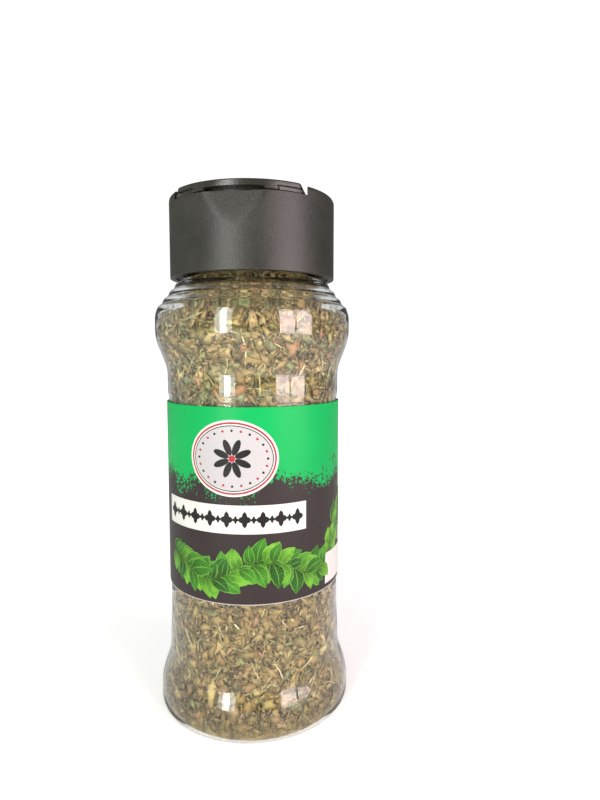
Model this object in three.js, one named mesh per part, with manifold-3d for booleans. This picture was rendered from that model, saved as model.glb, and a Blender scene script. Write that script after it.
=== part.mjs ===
// A clear spice jar filled with dried herb flakes, with a wrap-round label and a flip-top screw cap.
// Millimetres, +Z up. The origin is the centre of the base on the surface it stands on.
// The front, with the thumb scoop and the middle of the label, faces -Y.

import * as THREE from "three";
import { mergeVertices } from "three/addons/utils/BufferGeometryUtils.js";
import Module from "manifold-3d";

const wasm = await Module();
wasm.setup();

// Driving dimensions
const SIDES = 40;
const TOTAL_HEIGHT = 127.4;
const BULGE_RADIUS = 24.4;
const WAIST_RADIUS = 21.6;
const WALL = 1.0;

// Jar, from the base up
const FOOT_INNER_RADIUS = 17.0;
const HEEL_RADIUS = 2.0;
const PUSH_UP = 1.6;
const PUSH_UP_SHOULDER = 0.96;
const FLOOR_THICKNESS = 1.3;
const LOW_BULGE_TOP = 4.5;
const LOW_FLANK_TOP = 15.0;
const LOW_FLANK_RADIUS = 22.0;
const LOW_WAIST_Z = 27.0;
const PANEL_BOTTOM = 31.7;
const PANEL_TOP = 78.4;
const PANEL_RADIUS = 21.35;
const PANEL_STEP = 0.3;
const HIGH_WAIST_Z = 84.2;
const HIGH_BULGE_BOTTOM = 95.0;
const HIGH_BULGE_TOP = 98.6;
const SHOULDER_START = { r: 24.1, z: 99.7 };
const RIB_COUNT = 4;
const RIB_RISER = { dr: 0.42, dz: 1.2 };
const RIB_TREAD = { dr: 1.06, dz: 0.69 };
const INNER_SHOULDER = [
  { r: 23.1, z: 98.95 },
  { r: 17.2, z: 106.6 },
];
const NECK_BOTTOM = 108.4;
const NECK_CHAMFER = 0.3;
const NECK_RADIUS = 17.3;
const NECK_BORE = 15.9;
const NECK_TOP = 122.5;
const NECK_BEAD_RADIUS = 18.2;
const NECK_BEADS = [111.6, 116.0];

// Label
const LABEL_BOTTOM = 32.35;
const LABEL_HEIGHT = 45.4;
const LABEL_OUTER = 21.88;
const LABEL_INNER = 21.62;
const LABEL_GAP_DEG = 8;

// Cap
const CAP_RADIUS = 20.5;
const CAP_BOTTOM = 107.9;
const CAP_LIP_CHAMFER = 0.25;
const CAP_BORE = 18.95;
const CAP_EDGE_ROUND = 1.2;
const CAP_BEAD_RADIUS = 17.65;
const CAP_BEADS = [109.6, 114.0];
const BEAD_HALF = 0.6;
const DECK_UNDER = 122.8;
const DECK_TOP = 124.0;
const LEDGE_Z = 125.1;
const POCKET_RADIUS = 18.6;
const EAR_X = 15.5;
const HINGE_Y = 3.4;
const HINGE_GAP = 0.3;
const BRIDGE_Y = HINGE_Y - HINGE_GAP / 2;
const SCOOP_BOTTOM = 117.9;
const SCOOP_SLOPE = 0.184;
const HOLE_RADIUS = 2.0;
const HOLE_RING = 5.2;
const HOLE_CENTRE_Y = 11.0;
const SPOON_RADIUS = 15.2;
const SPOON_NEAR_Y = 5.0;

// Doors
const DOOR_NEAR_Y = HINGE_Y + HINGE_GAP / 2;
const DOOR_BOTTOM = 125.35;
const DOOR_UNDER = 126.1;
const DOOR_HALF_LOW = 15.1;
const DOOR_HALF_HIGH = 14.1;
const DOOR_EDGE_ROUND = 0.35;
const RIM_INNER = 19.2;
const LIP_HALF = 7.0;
const LIP_BOTTOM = 125.95;
const RECESS_RADIUS = 19.9;
const RECESS_TOP = 126.25;
const RECESS_DEG = [28.5, 46.0];
const PLUG_RADIUS = 18.1;
const PLUG_HALF = 14.3;
const PLUG_NEAR_Y = 4.2;
const PLUG_WALL = 0.9;
const PLUG_BOTTOM = 124.3;

// Herb fill
const SEED = 41;
const FLAKE_THICKNESS = 0.65;
const FLAKE_PITCH = 7.5;
const ROW_PITCH = 5.1;
const FLAKE_CORNERS = 5;
const FLAKE_LENGTH = [3.3, 4.3];
const FLAKE_WIDTH = [2.3, 3.1];
const FLAKE_TILT_DEG = [14, 26];
const FLAKE_SINK = [0, 0.3];
const GLASS_CLEARANCE = 0.35;
const CORE_DEPTH = 2.4;
const CORE_RELIEF = 0.4;
const CORE_SIDES = 18;
const CORE_STEP = 8.0;
const CORE_FLOOR = [
  { r: 0, z: 3.5 },
  { r: 15.5, z: 3.0 },
  { r: 18.0, z: 1.75 },
  { r: 21.2, z: 1.75 },
];
const CORE_START = 6.0;
const FILL_DOME = 1.8;
const FILL_TOP = 113.6;
const STALK = { length: [6.5, 9.0], width: 0.8, thickness: 0.7, tilt: [11, 16] };
const STALK_SHARE = 0.18;
const SHOWN_BELOW_LABEL = [6.3, 30.8];
const SHOWN_ABOVE_LABEL = [79.4, 104.6];
const TOP_RINGS = [[0, 1], [5.5, 6], [11, 11]];
const SMALLEST_FEATURE = 0.1;

const radians = THREE.MathUtils.degToRad;
const point = (r, z) => new THREE.Vector2(r, z);

// Solids

function toSolid(geometry) {
  const bare = geometry.clone();
  bare.deleteAttribute("normal");
  bare.deleteAttribute("uv");
  const merged = mergeVertices(bare, 1e-5);
  const vertProperties = new Float32Array(merged.attributes.position.array);
  const triVerts = new Uint32Array(merged.index.array);
  return new wasm.Manifold(new wasm.Mesh({ numProp: 3, vertProperties, triVerts }));
}

function toGeometry(solid) {
  const mesh = solid.getMesh();
  const geometry = new THREE.BufferGeometry();
  geometry.setAttribute("position", new THREE.BufferAttribute(new Float32Array(mesh.vertProperties), 3));
  geometry.setIndex(new THREE.BufferAttribute(new Uint32Array(mesh.triVerts), 1));
  return geometry;
}

// The outer skin of the largest body: loose scraps are dropped and sealed hollows filled.
function largestBody(solid) {
  const bodies = solid.decompose();
  return bodies.reduce((best, body) => (body.volume() > best.volume() ? body : best));
}

// A profile of (radius, height) points turned about Z.
function turned(profile, sides = SIDES) {
  const geometry = new THREE.LatheGeometry(profile, sides);
  geometry.rotateX(Math.PI / 2);
  return geometry;
}

function disc(radius, low, high, sides = SIDES) {
  return turned([point(0, low), point(radius, low), point(radius, high), point(0, high)], sides);
}

function block(x0, x1, y0, y1, z0, z1) {
  const geometry = new THREE.BoxGeometry(x1 - x0, y1 - y0, z1 - z0);
  geometry.translate((x0 + x1) / 2, (y0 + y1) / 2, (z0 + z1) / 2);
  return geometry;
}

function extruded(points, depth) {
  const shape = new THREE.Shape(points);
  return new THREE.ExtrudeGeometry(shape, { depth, bevelEnabled: false });
}

// Jar

// Points from one radius to another along a curve that is level with Z at both ends.
function easedFlank(r0, z0, r1, z1, steps) {
  return Array.from({ length: steps + 1 }, (_, i) => {
    const t = i / steps;
    const ease = t * t * (3 - 2 * t);
    return point(r0 + (r1 - r0) * ease, z0 + (z1 - z0) * t);
  });
}

function heelArc(steps) {
  const centre = BULGE_RADIUS - HEEL_RADIUS;
  return Array.from({ length: steps + 1 }, (_, i) => {
    const angle = (i / steps) * (Math.PI / 2);
    return point(centre + HEEL_RADIUS * Math.sin(angle), HEEL_RADIUS * (1 - Math.cos(angle)));
  });
}

// Four stepped rings, each a steep riser and a shallow tread.
function ribbedShoulder() {
  const points = [point(SHOULDER_START.r, SHOULDER_START.z)];
  let { r, z } = SHOULDER_START;
  for (let i = 0; i < RIB_COUNT; i += 1) {
    points.push(point((r -= RIB_RISER.dr), (z += RIB_RISER.dz)));
    points.push(point((r -= RIB_TREAD.dr), (z += RIB_TREAD.dz)));
  }
  return points;
}

// A level bead on a wall, flat on its crest, with sloped sides.
function bead(wallRadius, crestRadius, z) {
  return [
    point(wallRadius, z - 2 * BEAD_HALF),
    point(crestRadius, z - BEAD_HALF),
    point(crestRadius, z + BEAD_HALF),
    point(wallRadius, z + 2 * BEAD_HALF),
  ];
}

function jarOutside() {
  const shoulder = ribbedShoulder();
  return [
    point(0, PUSH_UP),
    point(FOOT_INNER_RADIUS - 1.5, PUSH_UP_SHOULDER),
    point(FOOT_INNER_RADIUS, 0),
    ...heelArc(3),
    ...easedFlank(BULGE_RADIUS, LOW_BULGE_TOP, LOW_FLANK_RADIUS, LOW_FLANK_TOP, 6),
    ...easedFlank(LOW_FLANK_RADIUS, LOW_FLANK_TOP, WAIST_RADIUS, LOW_WAIST_Z, 1).slice(1),
    point(WAIST_RADIUS, PANEL_BOTTOM - PANEL_STEP),
    point(PANEL_RADIUS, PANEL_BOTTOM),
    point(PANEL_RADIUS, PANEL_TOP),
    point(WAIST_RADIUS, PANEL_TOP + PANEL_STEP),
    ...easedFlank(WAIST_RADIUS, HIGH_WAIST_Z, BULGE_RADIUS, HIGH_BULGE_BOTTOM, 6),
    point(BULGE_RADIUS, HIGH_BULGE_TOP),
    ...shoulder,
    point(NECK_RADIUS, shoulder.at(-1).y + 0.4),
    ...NECK_BEADS.flatMap((z) => bead(NECK_RADIUS, NECK_BEAD_RADIUS, z)),
    point(NECK_RADIUS, NECK_TOP - NECK_CHAMFER),
    point(NECK_RADIUS - NECK_CHAMFER, NECK_TOP),
  ];
}

// The inside of the jar, from the middle of the floor up to the neck's rim.
function jarInside() {
  const inner = (r) => r - WALL;
  return [
    point(0, PUSH_UP + FLOOR_THICKNESS),
    point(FOOT_INNER_RADIUS - 2, PUSH_UP_SHOULDER + FLOOR_THICKNESS),
    point(FOOT_INNER_RADIUS + 0.5, FLOOR_THICKNESS),
    point(inner(BULGE_RADIUS) - HEEL_RADIUS / 2, FLOOR_THICKNESS),
    point(inner(BULGE_RADIUS), FLOOR_THICKNESS + HEEL_RADIUS),
    ...easedFlank(inner(BULGE_RADIUS), LOW_BULGE_TOP, inner(LOW_FLANK_RADIUS), LOW_FLANK_TOP, 4),
    point(inner(PANEL_RADIUS), LOW_WAIST_Z),
    point(inner(PANEL_RADIUS), HIGH_WAIST_Z - 2),
    ...easedFlank(inner(WAIST_RADIUS), HIGH_WAIST_Z, inner(BULGE_RADIUS), HIGH_BULGE_BOTTOM, 4),
    point(inner(BULGE_RADIUS), HIGH_BULGE_TOP - 0.4),
    ...INNER_SHOULDER.map(({ r, z }) => point(r, z)),
    point(NECK_BORE, NECK_BOTTOM),
    point(NECK_BORE, NECK_TOP),
  ];
}

function jarBody() {
  const profile = [...jarOutside(), ...jarInside().reverse()];
  return turned(profile);
}

function insideRadiusAt(z) {
  const profile = jarInside();
  for (let i = 1; i < profile.length; i += 1) {
    const [a, b] = [profile[i - 1], profile[i]];
    if (z >= a.y && z <= b.y && b.y > a.y) {
      return a.x + ((b.x - a.x) * (z - a.y)) / (b.y - a.y);
    }
  }
  return NECK_BORE;
}

// Label

function label() {
  const half = radians(LABEL_GAP_DEG / 2);
  const shape = new THREE.Shape();
  shape.absarc(0, 0, LABEL_OUTER, Math.PI / 2 + half, Math.PI / 2 - half + 2 * Math.PI, false);
  shape.absarc(0, 0, LABEL_INNER, Math.PI / 2 - half + 2 * Math.PI, Math.PI / 2 + half, true);
  const geometry = new THREE.ExtrudeGeometry(shape, {
    depth: LABEL_HEIGHT,
    bevelEnabled: false,
    curveSegments: SIDES / 2,
  });
  geometry.translate(0, 0, LABEL_BOTTOM);
  return geometry;
}

// Cap

function roundedTopEdge(radius, round, steps) {
  return Array.from({ length: steps + 1 }, (_, i) => {
    const angle = (i / steps) * (Math.PI / 2);
    return point(
      radius - round + round * Math.cos(angle),
      TOTAL_HEIGHT - round + round * Math.sin(angle),
    );
  });
}

function capBlank() {
  const beads = CAP_BEADS.flatMap((z) => bead(CAP_BORE, CAP_BEAD_RADIUS, z)).reverse();
  return turned([
    point(0, DECK_UNDER),
    point(CAP_BORE, DECK_UNDER),
    ...beads,
    point(CAP_BORE, CAP_BOTTOM + CAP_LIP_CHAMFER),
    point(CAP_BORE + CAP_LIP_CHAMFER, CAP_BOTTOM),
    point(CAP_RADIUS - CAP_LIP_CHAMFER, CAP_BOTTOM),
    point(CAP_RADIUS, CAP_BOTTOM + CAP_LIP_CHAMFER),
    ...roundedTopEdge(CAP_RADIUS, CAP_EDGE_ROUND, 4),
    point(0, TOTAL_HEIGHT),
  ]);
}

// The space a closed door lies in: down to the ledge at the rim, and to the deck inside it.
// side is -1 at the front and +1 at the rear.
function doorBay(side) {
  const far = side * (CAP_RADIUS + 2);
  const near = side * BRIDGE_Y;
  const [y0, y1] = [Math.min(far, near), Math.max(far, near)];
  const above = toSolid(block(-EAR_X, EAR_X, y0, y1, LEDGE_Z, TOTAL_HEIGHT + 1));
  const column = toSolid(block(-EAR_X, EAR_X, y0, y1, DECK_TOP, TOTAL_HEIGHT + 0.5));
  const pocket = toSolid(disc(POCKET_RADIUS, DECK_TOP - 1, TOTAL_HEIGHT + 0.3)).intersect(column);
  return above.add(pocket);
}

// A flat facet that leans inward with height, deepest under the door's lip.
function thumbScoop(side) {
  const height = 16;
  const depth = 4;
  const tilt = Math.atan(SCOOP_SLOPE);
  const geometry = new THREE.BoxGeometry(2 * EAR_X, depth, height);
  geometry.translate(0, (side * depth) / 2, 0);
  geometry.rotateX(side * tilt);
  const middle = height / 2 - 4;
  geometry.translate(0, side * (CAP_RADIUS - SCOOP_SLOPE * middle), SCOOP_BOTTOM + middle);
  const reach = toSolid(block(-EAR_X, EAR_X, -30, 30, SCOOP_BOTTOM - 2, LEDGE_Z + 0.5));
  return toSolid(geometry).intersect(reach);
}

function sifterHoles() {
  const centres = [[0, 0]];
  for (let i = 0; i < 6; i += 1) {
    const angle = (i * Math.PI) / 3;
    centres.push([HOLE_RING * Math.cos(angle), HOLE_RING * Math.sin(angle)]);
  }
  return centres.map(([x, y]) => {
    const hole = disc(HOLE_RADIUS, DECK_UNDER - 1, DECK_TOP + 1, 16);
    hole.translate(x, y - HOLE_CENTRE_Y, 0);
    return toSolid(hole);
  });
}

function spoonOpening() {
  const reach = toSolid(block(-CAP_RADIUS, CAP_RADIUS, SPOON_NEAR_Y, CAP_RADIUS, 0, 200));
  return toSolid(disc(SPOON_RADIUS, DECK_UNDER - 1, DECK_TOP + 1, 32)).intersect(reach);
}

function capBody() {
  let solid = toSolid(capBlank());
  for (const side of [-1, 1]) {
    solid = solid.subtract(doorBay(side)).subtract(thumbScoop(side));
  }
  for (const hole of sifterHoles()) {
    solid = solid.subtract(hole);
  }
  return toGeometry(largestBody(solid.subtract(spoonOpening())));
}

// Doors

// The lid's outline seen from the front: its ends lean in towards the top.
function doorWedge() {
  const lean = (DOOR_HALF_LOW - DOOR_HALF_HIGH) / (TOTAL_HEIGHT - DOOR_BOTTOM);
  const above = 0.5;
  const geometry = extruded(
    [
      point(-DOOR_HALF_LOW, DOOR_BOTTOM),
      point(DOOR_HALF_LOW, DOOR_BOTTOM),
      point(DOOR_HALF_HIGH - lean * above, TOTAL_HEIGHT + above),
      point(-DOOR_HALF_HIGH + lean * above, TOTAL_HEIGHT + above),
    ],
    CAP_RADIUS + 2 - DOOR_NEAR_Y,
  );
  geometry.rotateX(Math.PI / 2);
  geometry.translate(0, -DOOR_NEAR_Y, 0);
  return geometry;
}

function doorBlank() {
  return turned([
    point(0, DOOR_BOTTOM - 0.5),
    point(CAP_RADIUS, DOOR_BOTTOM - 0.5),
    ...roundedTopEdge(CAP_RADIUS, DOOR_EDGE_ROUND, 2),
    point(0, TOTAL_HEIGHT),
  ]);
}

// The stretch of rim between the tab and the door's end, set back under the lid's edge.
function rimRecess(side) {
  const reach = CAP_RADIUS + 3;
  const [start, end] = RECESS_DEG.map(radians);
  const sector = extruded(
    [
      point(0, 0),
      point(side * reach * Math.sin(start), -reach * Math.cos(start)),
      point(side * reach * Math.sin(end), -reach * Math.cos(end)),
    ],
    RECESS_TOP - DOOR_BOTTOM + 1,
  );
  sector.translate(0, 0, DOOR_BOTTOM - 1);
  return toSolid(sector).subtract(toSolid(disc(RECESS_RADIUS, DOOR_BOTTOM - 2, RECESS_TOP + 1)));
}

// The rim under the lid that drops into the deck's pocket.
function doorPlug() {
  const cut = (radius, half, near) => {
    const reach = toSolid(block(-half, half, -CAP_RADIUS, -near, PLUG_BOTTOM, DOOR_UNDER + 0.4));
    return toSolid(disc(radius, PLUG_BOTTOM - 1, TOTAL_HEIGHT)).intersect(reach);
  };
  const outer = cut(PLUG_RADIUS, PLUG_HALF, PLUG_NEAR_Y);
  return outer.subtract(cut(PLUG_RADIUS - PLUG_WALL, PLUG_HALF - PLUG_WALL, PLUG_NEAR_Y + PLUG_WALL));
}

function frontDoor() {
  let solid = toSolid(doorBlank()).intersect(toSolid(doorWedge()));
  const hollow = toSolid(disc(RIM_INNER, DOOR_BOTTOM - 1, DOOR_UNDER));
  const fingerSlot = toSolid(block(-LIP_HALF, LIP_HALF, -CAP_RADIUS - 1, -PLUG_NEAR_Y, 120, LIP_BOTTOM));
  solid = solid.subtract(hollow).subtract(fingerSlot);
  solid = solid.subtract(rimRecess(-1)).subtract(rimRecess(1)).add(doorPlug());
  return toGeometry(largestBody(solid));
}

function rearDoor() {
  const geometry = frontDoor();
  geometry.rotateZ(Math.PI);
  return geometry;
}

// Herb fill

function seededRandom(seed) {
  let state = seed;
  return () => {
    state = (state * 1664525 + 1013904223) % 4294967296;
    return state / 4294967296;
  };
}

const random = seededRandom(SEED);
const between = (low, high) => low + (high - low) * random();
const eitherSign = (low, high) => between(low, high) * (random() < 0.5 ? -1 : 1);

// A crumpled core a little smaller than the inside of the jar.
function herbCore() {
  const rows = [];
  for (let z = CORE_START; z < FILL_TOP; z += CORE_STEP) {
    rows.push(point(insideRadiusAt(z) - CORE_DEPTH, z));
  }
  const geometry = mergeVertices(bareTurned([
    ...CORE_FLOOR.map(({ r, z }) => point(r, z)),
    ...rows,
    point(NECK_BORE / 2, FILL_TOP + FILL_DOME * 0.7),
    point(0, FILL_TOP + FILL_DOME),
  ]), 1e-4);
  const position = geometry.attributes.position;
  for (let i = 0; i < position.count; i += 1) {
    const [x, y, z] = [position.getX(i), position.getY(i), position.getZ(i)];
    const r = Math.hypot(x, y);
    if (z >= CORE_START && r > 1) {
      const scale = 1 + between(-CORE_RELIEF, CORE_RELIEF) / r;
      position.setXYZ(i, x * scale, y * scale, z + between(-CORE_RELIEF, CORE_RELIEF));
    }
  }
  return geometry;
}

function bareTurned(profile) {
  const geometry = turned(profile, CORE_SIDES);
  geometry.deleteAttribute("normal");
  geometry.deleteAttribute("uv");
  return geometry;
}

// A torn scrap of dried leaf: an uneven flat outline, longer than it is wide.
function flake() {
  const length = between(...FLAKE_LENGTH);
  const width = between(...FLAKE_WIDTH);
  const turn = between(0, Math.PI);
  const points = Array.from({ length: FLAKE_CORNERS }, (_, i) => {
    const angle = turn + ((i + between(-0.25, 0.25)) * 2 * Math.PI) / FLAKE_CORNERS;
    const reach = i % 2 ? between(0.6, 0.85) : between(0.9, 1.1);
    return point(length * reach * Math.cos(angle), width * reach * Math.sin(angle));
  });
  const geometry = extruded(points, FLAKE_THICKNESS);
  geometry.translate(0, 0, -FLAKE_THICKNESS / 2);
  return geometry;
}

function stalk() {
  return new THREE.BoxGeometry(between(...STALK.length), STALK.width, STALK.thickness);
}

// The lean of the wall at a height: 0 where it is upright, positive where it widens upward.
function wallLean(z) {
  return Math.atan2(insideRadiusAt(z + 1) - insideRadiusAt(z - 1), 2);
}

// Turns a scrap to lie along the wall at an azimuth and height, one end dipping into the fill.
function layOnSide(geometry, azimuth, z, tilt) {
  geometry.rotateY(radians(eitherSign(...tilt)));
  geometry.rotateZ(between(0, 2 * Math.PI));
  geometry.rotateY(Math.PI / 2 + wallLean(z));
  geometry.translate(insideRadiusAt(z) - GLASS_CLEARANCE, 0, z);
  geometry.rotateZ(azimuth);
  return pulledClear(geometry, azimuth);
}

// Moves a scrap towards the jar's axis until every corner clears the wall.
function pulledClear(geometry, azimuth) {
  const position = geometry.attributes.position;
  let excess = 0;
  for (let i = 0; i < position.count; i += 1) {
    const r = Math.hypot(position.getX(i), position.getY(i));
    const limit = insideRadiusAt(position.getZ(i)) - GLASS_CLEARANCE;
    excess = Math.max(excess, r - limit);
  }
  excess += between(...FLAKE_SINK);
  geometry.translate(-excess * Math.cos(azimuth), -excess * Math.sin(azimuth), 0);
  return geometry;
}

function sideScraps(low, high) {
  const scraps = [];
  const rows = Math.round((high - low) / ROW_PITCH);
  for (let row = 0; row <= rows; row += 1) {
    const z = low + ((high - low) * row) / rows;
    const count = Math.round((2 * Math.PI * insideRadiusAt(z)) / FLAKE_PITCH);
    for (let i = 0; i < count; i += 1) {
      const azimuth = ((i + (row % 2) / 2 + between(-0.2, 0.2)) * 2 * Math.PI) / count;
      const isStalk = random() < STALK_SHARE;
      const scrap = isStalk ? stalk() : flake();
      const tilt = isStalk ? STALK.tilt : FLAKE_TILT_DEG;
      scraps.push(layOnSide(scrap, azimuth, z + between(-0.8, 0.8), tilt));
    }
  }
  return scraps;
}

function topScraps() {
  return TOP_RINGS.flatMap(([radius, count]) =>
    Array.from({ length: count }, (_, i) => {
      const azimuth = ((i + between(-0.2, 0.2)) * 2 * Math.PI) / count;
      const scrap = flake();
      scrap.rotateX(radians(between(-30, 30)));
      scrap.rotateZ(between(0, Math.PI));
      scrap.translate(radius * Math.cos(azimuth), radius * Math.sin(azimuth), FILL_TOP + 1.0);
      return scrap;
    }),
  );
}

function herbFill() {
  const scraps = [
    ...sideScraps(...SHOWN_BELOW_LABEL),
    ...sideScraps(...SHOWN_ABOVE_LABEL),
    ...topScraps(),
  ];
  let solid = toSolid(herbCore());
  for (const scrap of scraps) {
    solid = solid.add(toSolid(scrap));
  }
  return toGeometry(largestBody(solid.simplify(SMALLEST_FEATURE)));
}

// Materials

function material(color, roughness, extra = {}) {
  return new THREE.MeshStandardMaterial({ color, roughness, metalness: 0, flatShading: true, ...extra });
}

const clearPlastic = material(0xdfe6e0, 0.06, { transparent: true, opacity: 0.25 });
const driedHerb = material(0x7d7a45, 0.9);
const printedPaper = material(0x1fc46a, 0.4);
const blackPlastic = material(0x2f2e2d, 0.5);

const PARTS = [
  ["jar_body", jarBody, clearPlastic],
  ["herb_fill", herbFill, driedHerb],
  ["label", label, printedPaper],
  ["cap_body", capBody, blackPlastic],
  ["door_front", frontDoor, blackPlastic.clone()],
  ["door_rear", rearDoor, blackPlastic.clone()],
];

const spiceJar = new THREE.Group();
spiceJar.name = "spice_jar";
for (const [name, build, finish] of PARTS) {
  const mesh = new THREE.Mesh(build(), finish);
  mesh.name = name;
  spiceJar.add(mesh);
}

export default spiceJar;
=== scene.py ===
"""Looks of a clear spice jar filled with dried herb flakes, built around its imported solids.

Metres, +Z up. The origin is the centre of the base, and the front of the jar faces -Y.
Azimuths are measured about Z from the front, positive towards +X. Shapes are worked out in
millimetres, and mesh_object turns them into metres.
"""

import math
from collections import namedtuple

import bpy
import numpy as np
from bpy.props import FloatProperty, FloatVectorProperty, IntProperty, PointerProperty
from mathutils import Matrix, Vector


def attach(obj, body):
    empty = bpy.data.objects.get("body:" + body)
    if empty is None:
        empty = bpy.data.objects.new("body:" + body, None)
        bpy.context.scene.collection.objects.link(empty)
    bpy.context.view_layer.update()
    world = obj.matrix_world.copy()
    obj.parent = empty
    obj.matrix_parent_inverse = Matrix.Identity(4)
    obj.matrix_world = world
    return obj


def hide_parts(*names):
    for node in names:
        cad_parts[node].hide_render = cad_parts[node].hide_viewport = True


bl_info = {
    "name": "Filled spice jar",
    "version": (1, 0, 0),
    "blender": (4, 5, 0),
    "location": "3D View > Sidebar > Spice Jar",
    "description": "Builds a clear jar of dried herb flakes with its label and two-door cap",
    "category": "Object",
}

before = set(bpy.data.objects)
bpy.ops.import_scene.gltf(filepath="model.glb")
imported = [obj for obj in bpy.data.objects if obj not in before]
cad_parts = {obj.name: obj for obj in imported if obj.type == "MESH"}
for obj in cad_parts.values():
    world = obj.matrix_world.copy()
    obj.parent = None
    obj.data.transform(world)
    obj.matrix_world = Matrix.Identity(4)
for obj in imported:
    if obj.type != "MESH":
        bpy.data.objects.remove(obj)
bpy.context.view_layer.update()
MM = 0.001

# Jar, in millimetres
BULGE_RADIUS = 24.4
WAIST_RADIUS = 21.6
FOOT_INNER_RADIUS = 17.0
HEEL_RADIUS = 2.0
PUSH_UP = 1.6
PUSH_UP_SHOULDER = 0.96
LOW_BULGE_TOP = 4.5
LOW_FLANK_TOP = 15.0
LOW_FLANK_RADIUS = 22.0
LOW_WAIST_Z = 27.0
PANEL_BOTTOM = 31.7
PANEL_TOP = 78.4
PANEL_RADIUS = 21.35
PANEL_EASE = 1.5
HIGH_WAIST_Z = 84.2
HIGH_BULGE_BOTTOM = 95.0
HIGH_BULGE_TOP = 98.6
SHOULDER_START = (24.1, 99.7)
RIB_COUNT = 4
RIB_RISER = (0.42, 1.2)
RIB_TREAD = (1.06, 0.69)
NECK_BOTTOM = 108.4
NECK_RADIUS = 17.3
NECK_BORE = 15.9
NECK_TOP = 122.5
NECK_BEAD_RADIUS = 18.2
NECK_BEADS = (111.6, 116.0)
BEAD_HALF = 0.6

# Label, in millimetres and degrees
LABEL_BOTTOM = 32.35
LABEL_TOP = 77.75
LABEL_OUTER = 21.88
LABEL_GAP = 8.0
PAPER_BACK = 21.37
MM_PER_DEGREE = LABEL_OUTER * math.pi / 180
OVAL_CENTRE = (-0.9 * MM_PER_DEGREE, 66.2)
STRIP_ACROSS = (-54.0 * MM_PER_DEGREE, 45.0 * MM_PER_DEGREE)
STRIP_HEIGHT = (49.0, 55.6)
PANEL_ACROSS = (63.0 * MM_PER_DEGREE, 92.0 * MM_PER_DEGREE)
PANEL_HEIGHT = (33.6, 41.2)
PLATE_BACK = -0.03
GARLAND_PAIRS = 42
GARLAND_SPAN = (-18.5, 35.0)
GARLAND_Z = 40.2
GARLAND_WAVE = 2.2
GARLAND_REACH = 4.3

# Cap and doors, in millimetres
CAP_RADIUS = 20.5
CAP_BOTTOM = 107.9
CAP_BORE = 18.95
CAP_EDGE_ROUND = 1.2
CAP_BEAD_RADIUS = 17.65
CAP_BEADS = (109.6, 114.0)
DECK_UNDER = 122.8
DECK_TOP = 124.0
LEDGE_Z = 125.1
TOTAL_HEIGHT = 127.4
POCKET_RADIUS = 18.6
EAR_X = 15.5
BRIDGE_Y = 3.25
DOOR_NEAR_Y = 3.55
SCOOP_BOTTOM = 117.9
SCOOP_SLOPE = 0.184
SCOOP_JOIN = 0.3
HOLE_RADIUS = 2.0
HOLE_RING = 5.2
HOLE_CENTRE_Y = -11.0
SPOON_RADIUS = 15.2
SPOON_NEAR_Y = 5.0
DOOR_BOTTOM = 125.35
DOOR_UNDER = 126.1
DOOR_HALF_LOW = 15.1
DOOR_HALF_HIGH = 14.1
DOOR_EDGE_ROUND = 0.35
RIM_INNER = 19.2
LIP_HALF = 7.0
LIP_BOTTOM = 125.95
RECESS_DEPTH = 0.6
RECESS_TOP = 126.25
RECESS_DEG = (28.5, 46.0)
PLUG_RADIUS = 18.1
PLUG_HALF = 14.3
PLUG_NEAR_Y = 4.2
PLUG_WALL = 0.9
PLUG_BOTTOM = 124.3

# Herb fill, in millimetres
CORE_DEPTH = 1.3
FOOT_DEPTH = 0.15
CORE_LIFT = 0.06
FILL_TOP = 113.6
FILL_DOME = 1.8
GLASS_CLEARANCE = 0.035
FLOOR_CLEARANCE = 0.05
SHOULDER_GAP = 3.0
HERB_ZONES = {"lower": (0.8, 35.0), "upper": (75.5, 111.5)}
FOOT_ZONE = (0.3, 4.0)
FOOT_CRUMBS = 1500
SEAM_SCRAPS = 500
TOP_SCRAPS = 900
TOP_RADIUS = 15.0
GOLDEN_ANGLE = 2.399963

# Camera, in metres, with its lens in millimetres
CAMERA_PLACE = (0.0309, -0.1440, 0.0901)
CAMERA_FORWARD = (-0.129, 0.988, -0.0857)
CAMERA_LENS = 25.59


# Settings


def length_setting(name, description, default, least=0.0):
    return FloatProperty(name=name, description=description, default=default, min=least, unit="LENGTH")


def number_setting(name, description, default, least=0):
    return IntProperty(name=name, description=description, default=default, min=least)


def colour_setting(name, description, default):
    return FloatVectorProperty(name=name, description=description, default=default, subtype="COLOR", size=3)


class JarSettings(bpy.types.PropertyGroup):
    wall: length_setting("Wall", "Thickness of the blown plastic wall", 0.35 * MM, 0.2 * MM)
    waviness: length_setting("Waviness", "How far the inner wall wanders", 0.02 * MM)
    sides: number_setting("Sides", "Facets around the jar", 288, 24)


class HerbSettings(bpy.types.PropertyGroup):
    seed: number_setting("Seed", "Start of the random numbers that lay the flakes", 41)
    broad: number_setting("Broad leaves", "Broad scraps in each clear zone", 700, 10)
    leaves: number_setting("Leaves", "Middling scraps in each clear zone", 4200, 10)
    shreds: number_setting("Shreds", "Narrow shreds in each clear zone", 5600, 10)
    crumbs: number_setting("Crumbs", "Small crumbs in each clear zone", 5200, 10)
    stalks: number_setting("Stalks", "Stalk pieces in each clear zone", 520, 10)
    leaf_length: length_setting("Leaf length", "Length of a middling leaf scrap", 2.8 * MM, 0.2 * MM)


class LabelSettings(bpy.types.PropertyGroup):
    green: colour_setting("Green", "Ink of the upper part", (0.001, 0.235, 0.053))
    charcoal: colour_setting("Charcoal", "Ink of the lower part", (0.022, 0.017, 0.017))
    seed: number_setting("Seed", "Start of the random numbers that lay the garland", 7)


class CapSettings(bpy.types.PropertyGroup):
    colour: colour_setting("Colour", "Colour of the moulded plastic", (0.0105, 0.0103, 0.0078))
    sides: number_setting("Sides", "Facets around the cap", 192, 48)


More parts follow.
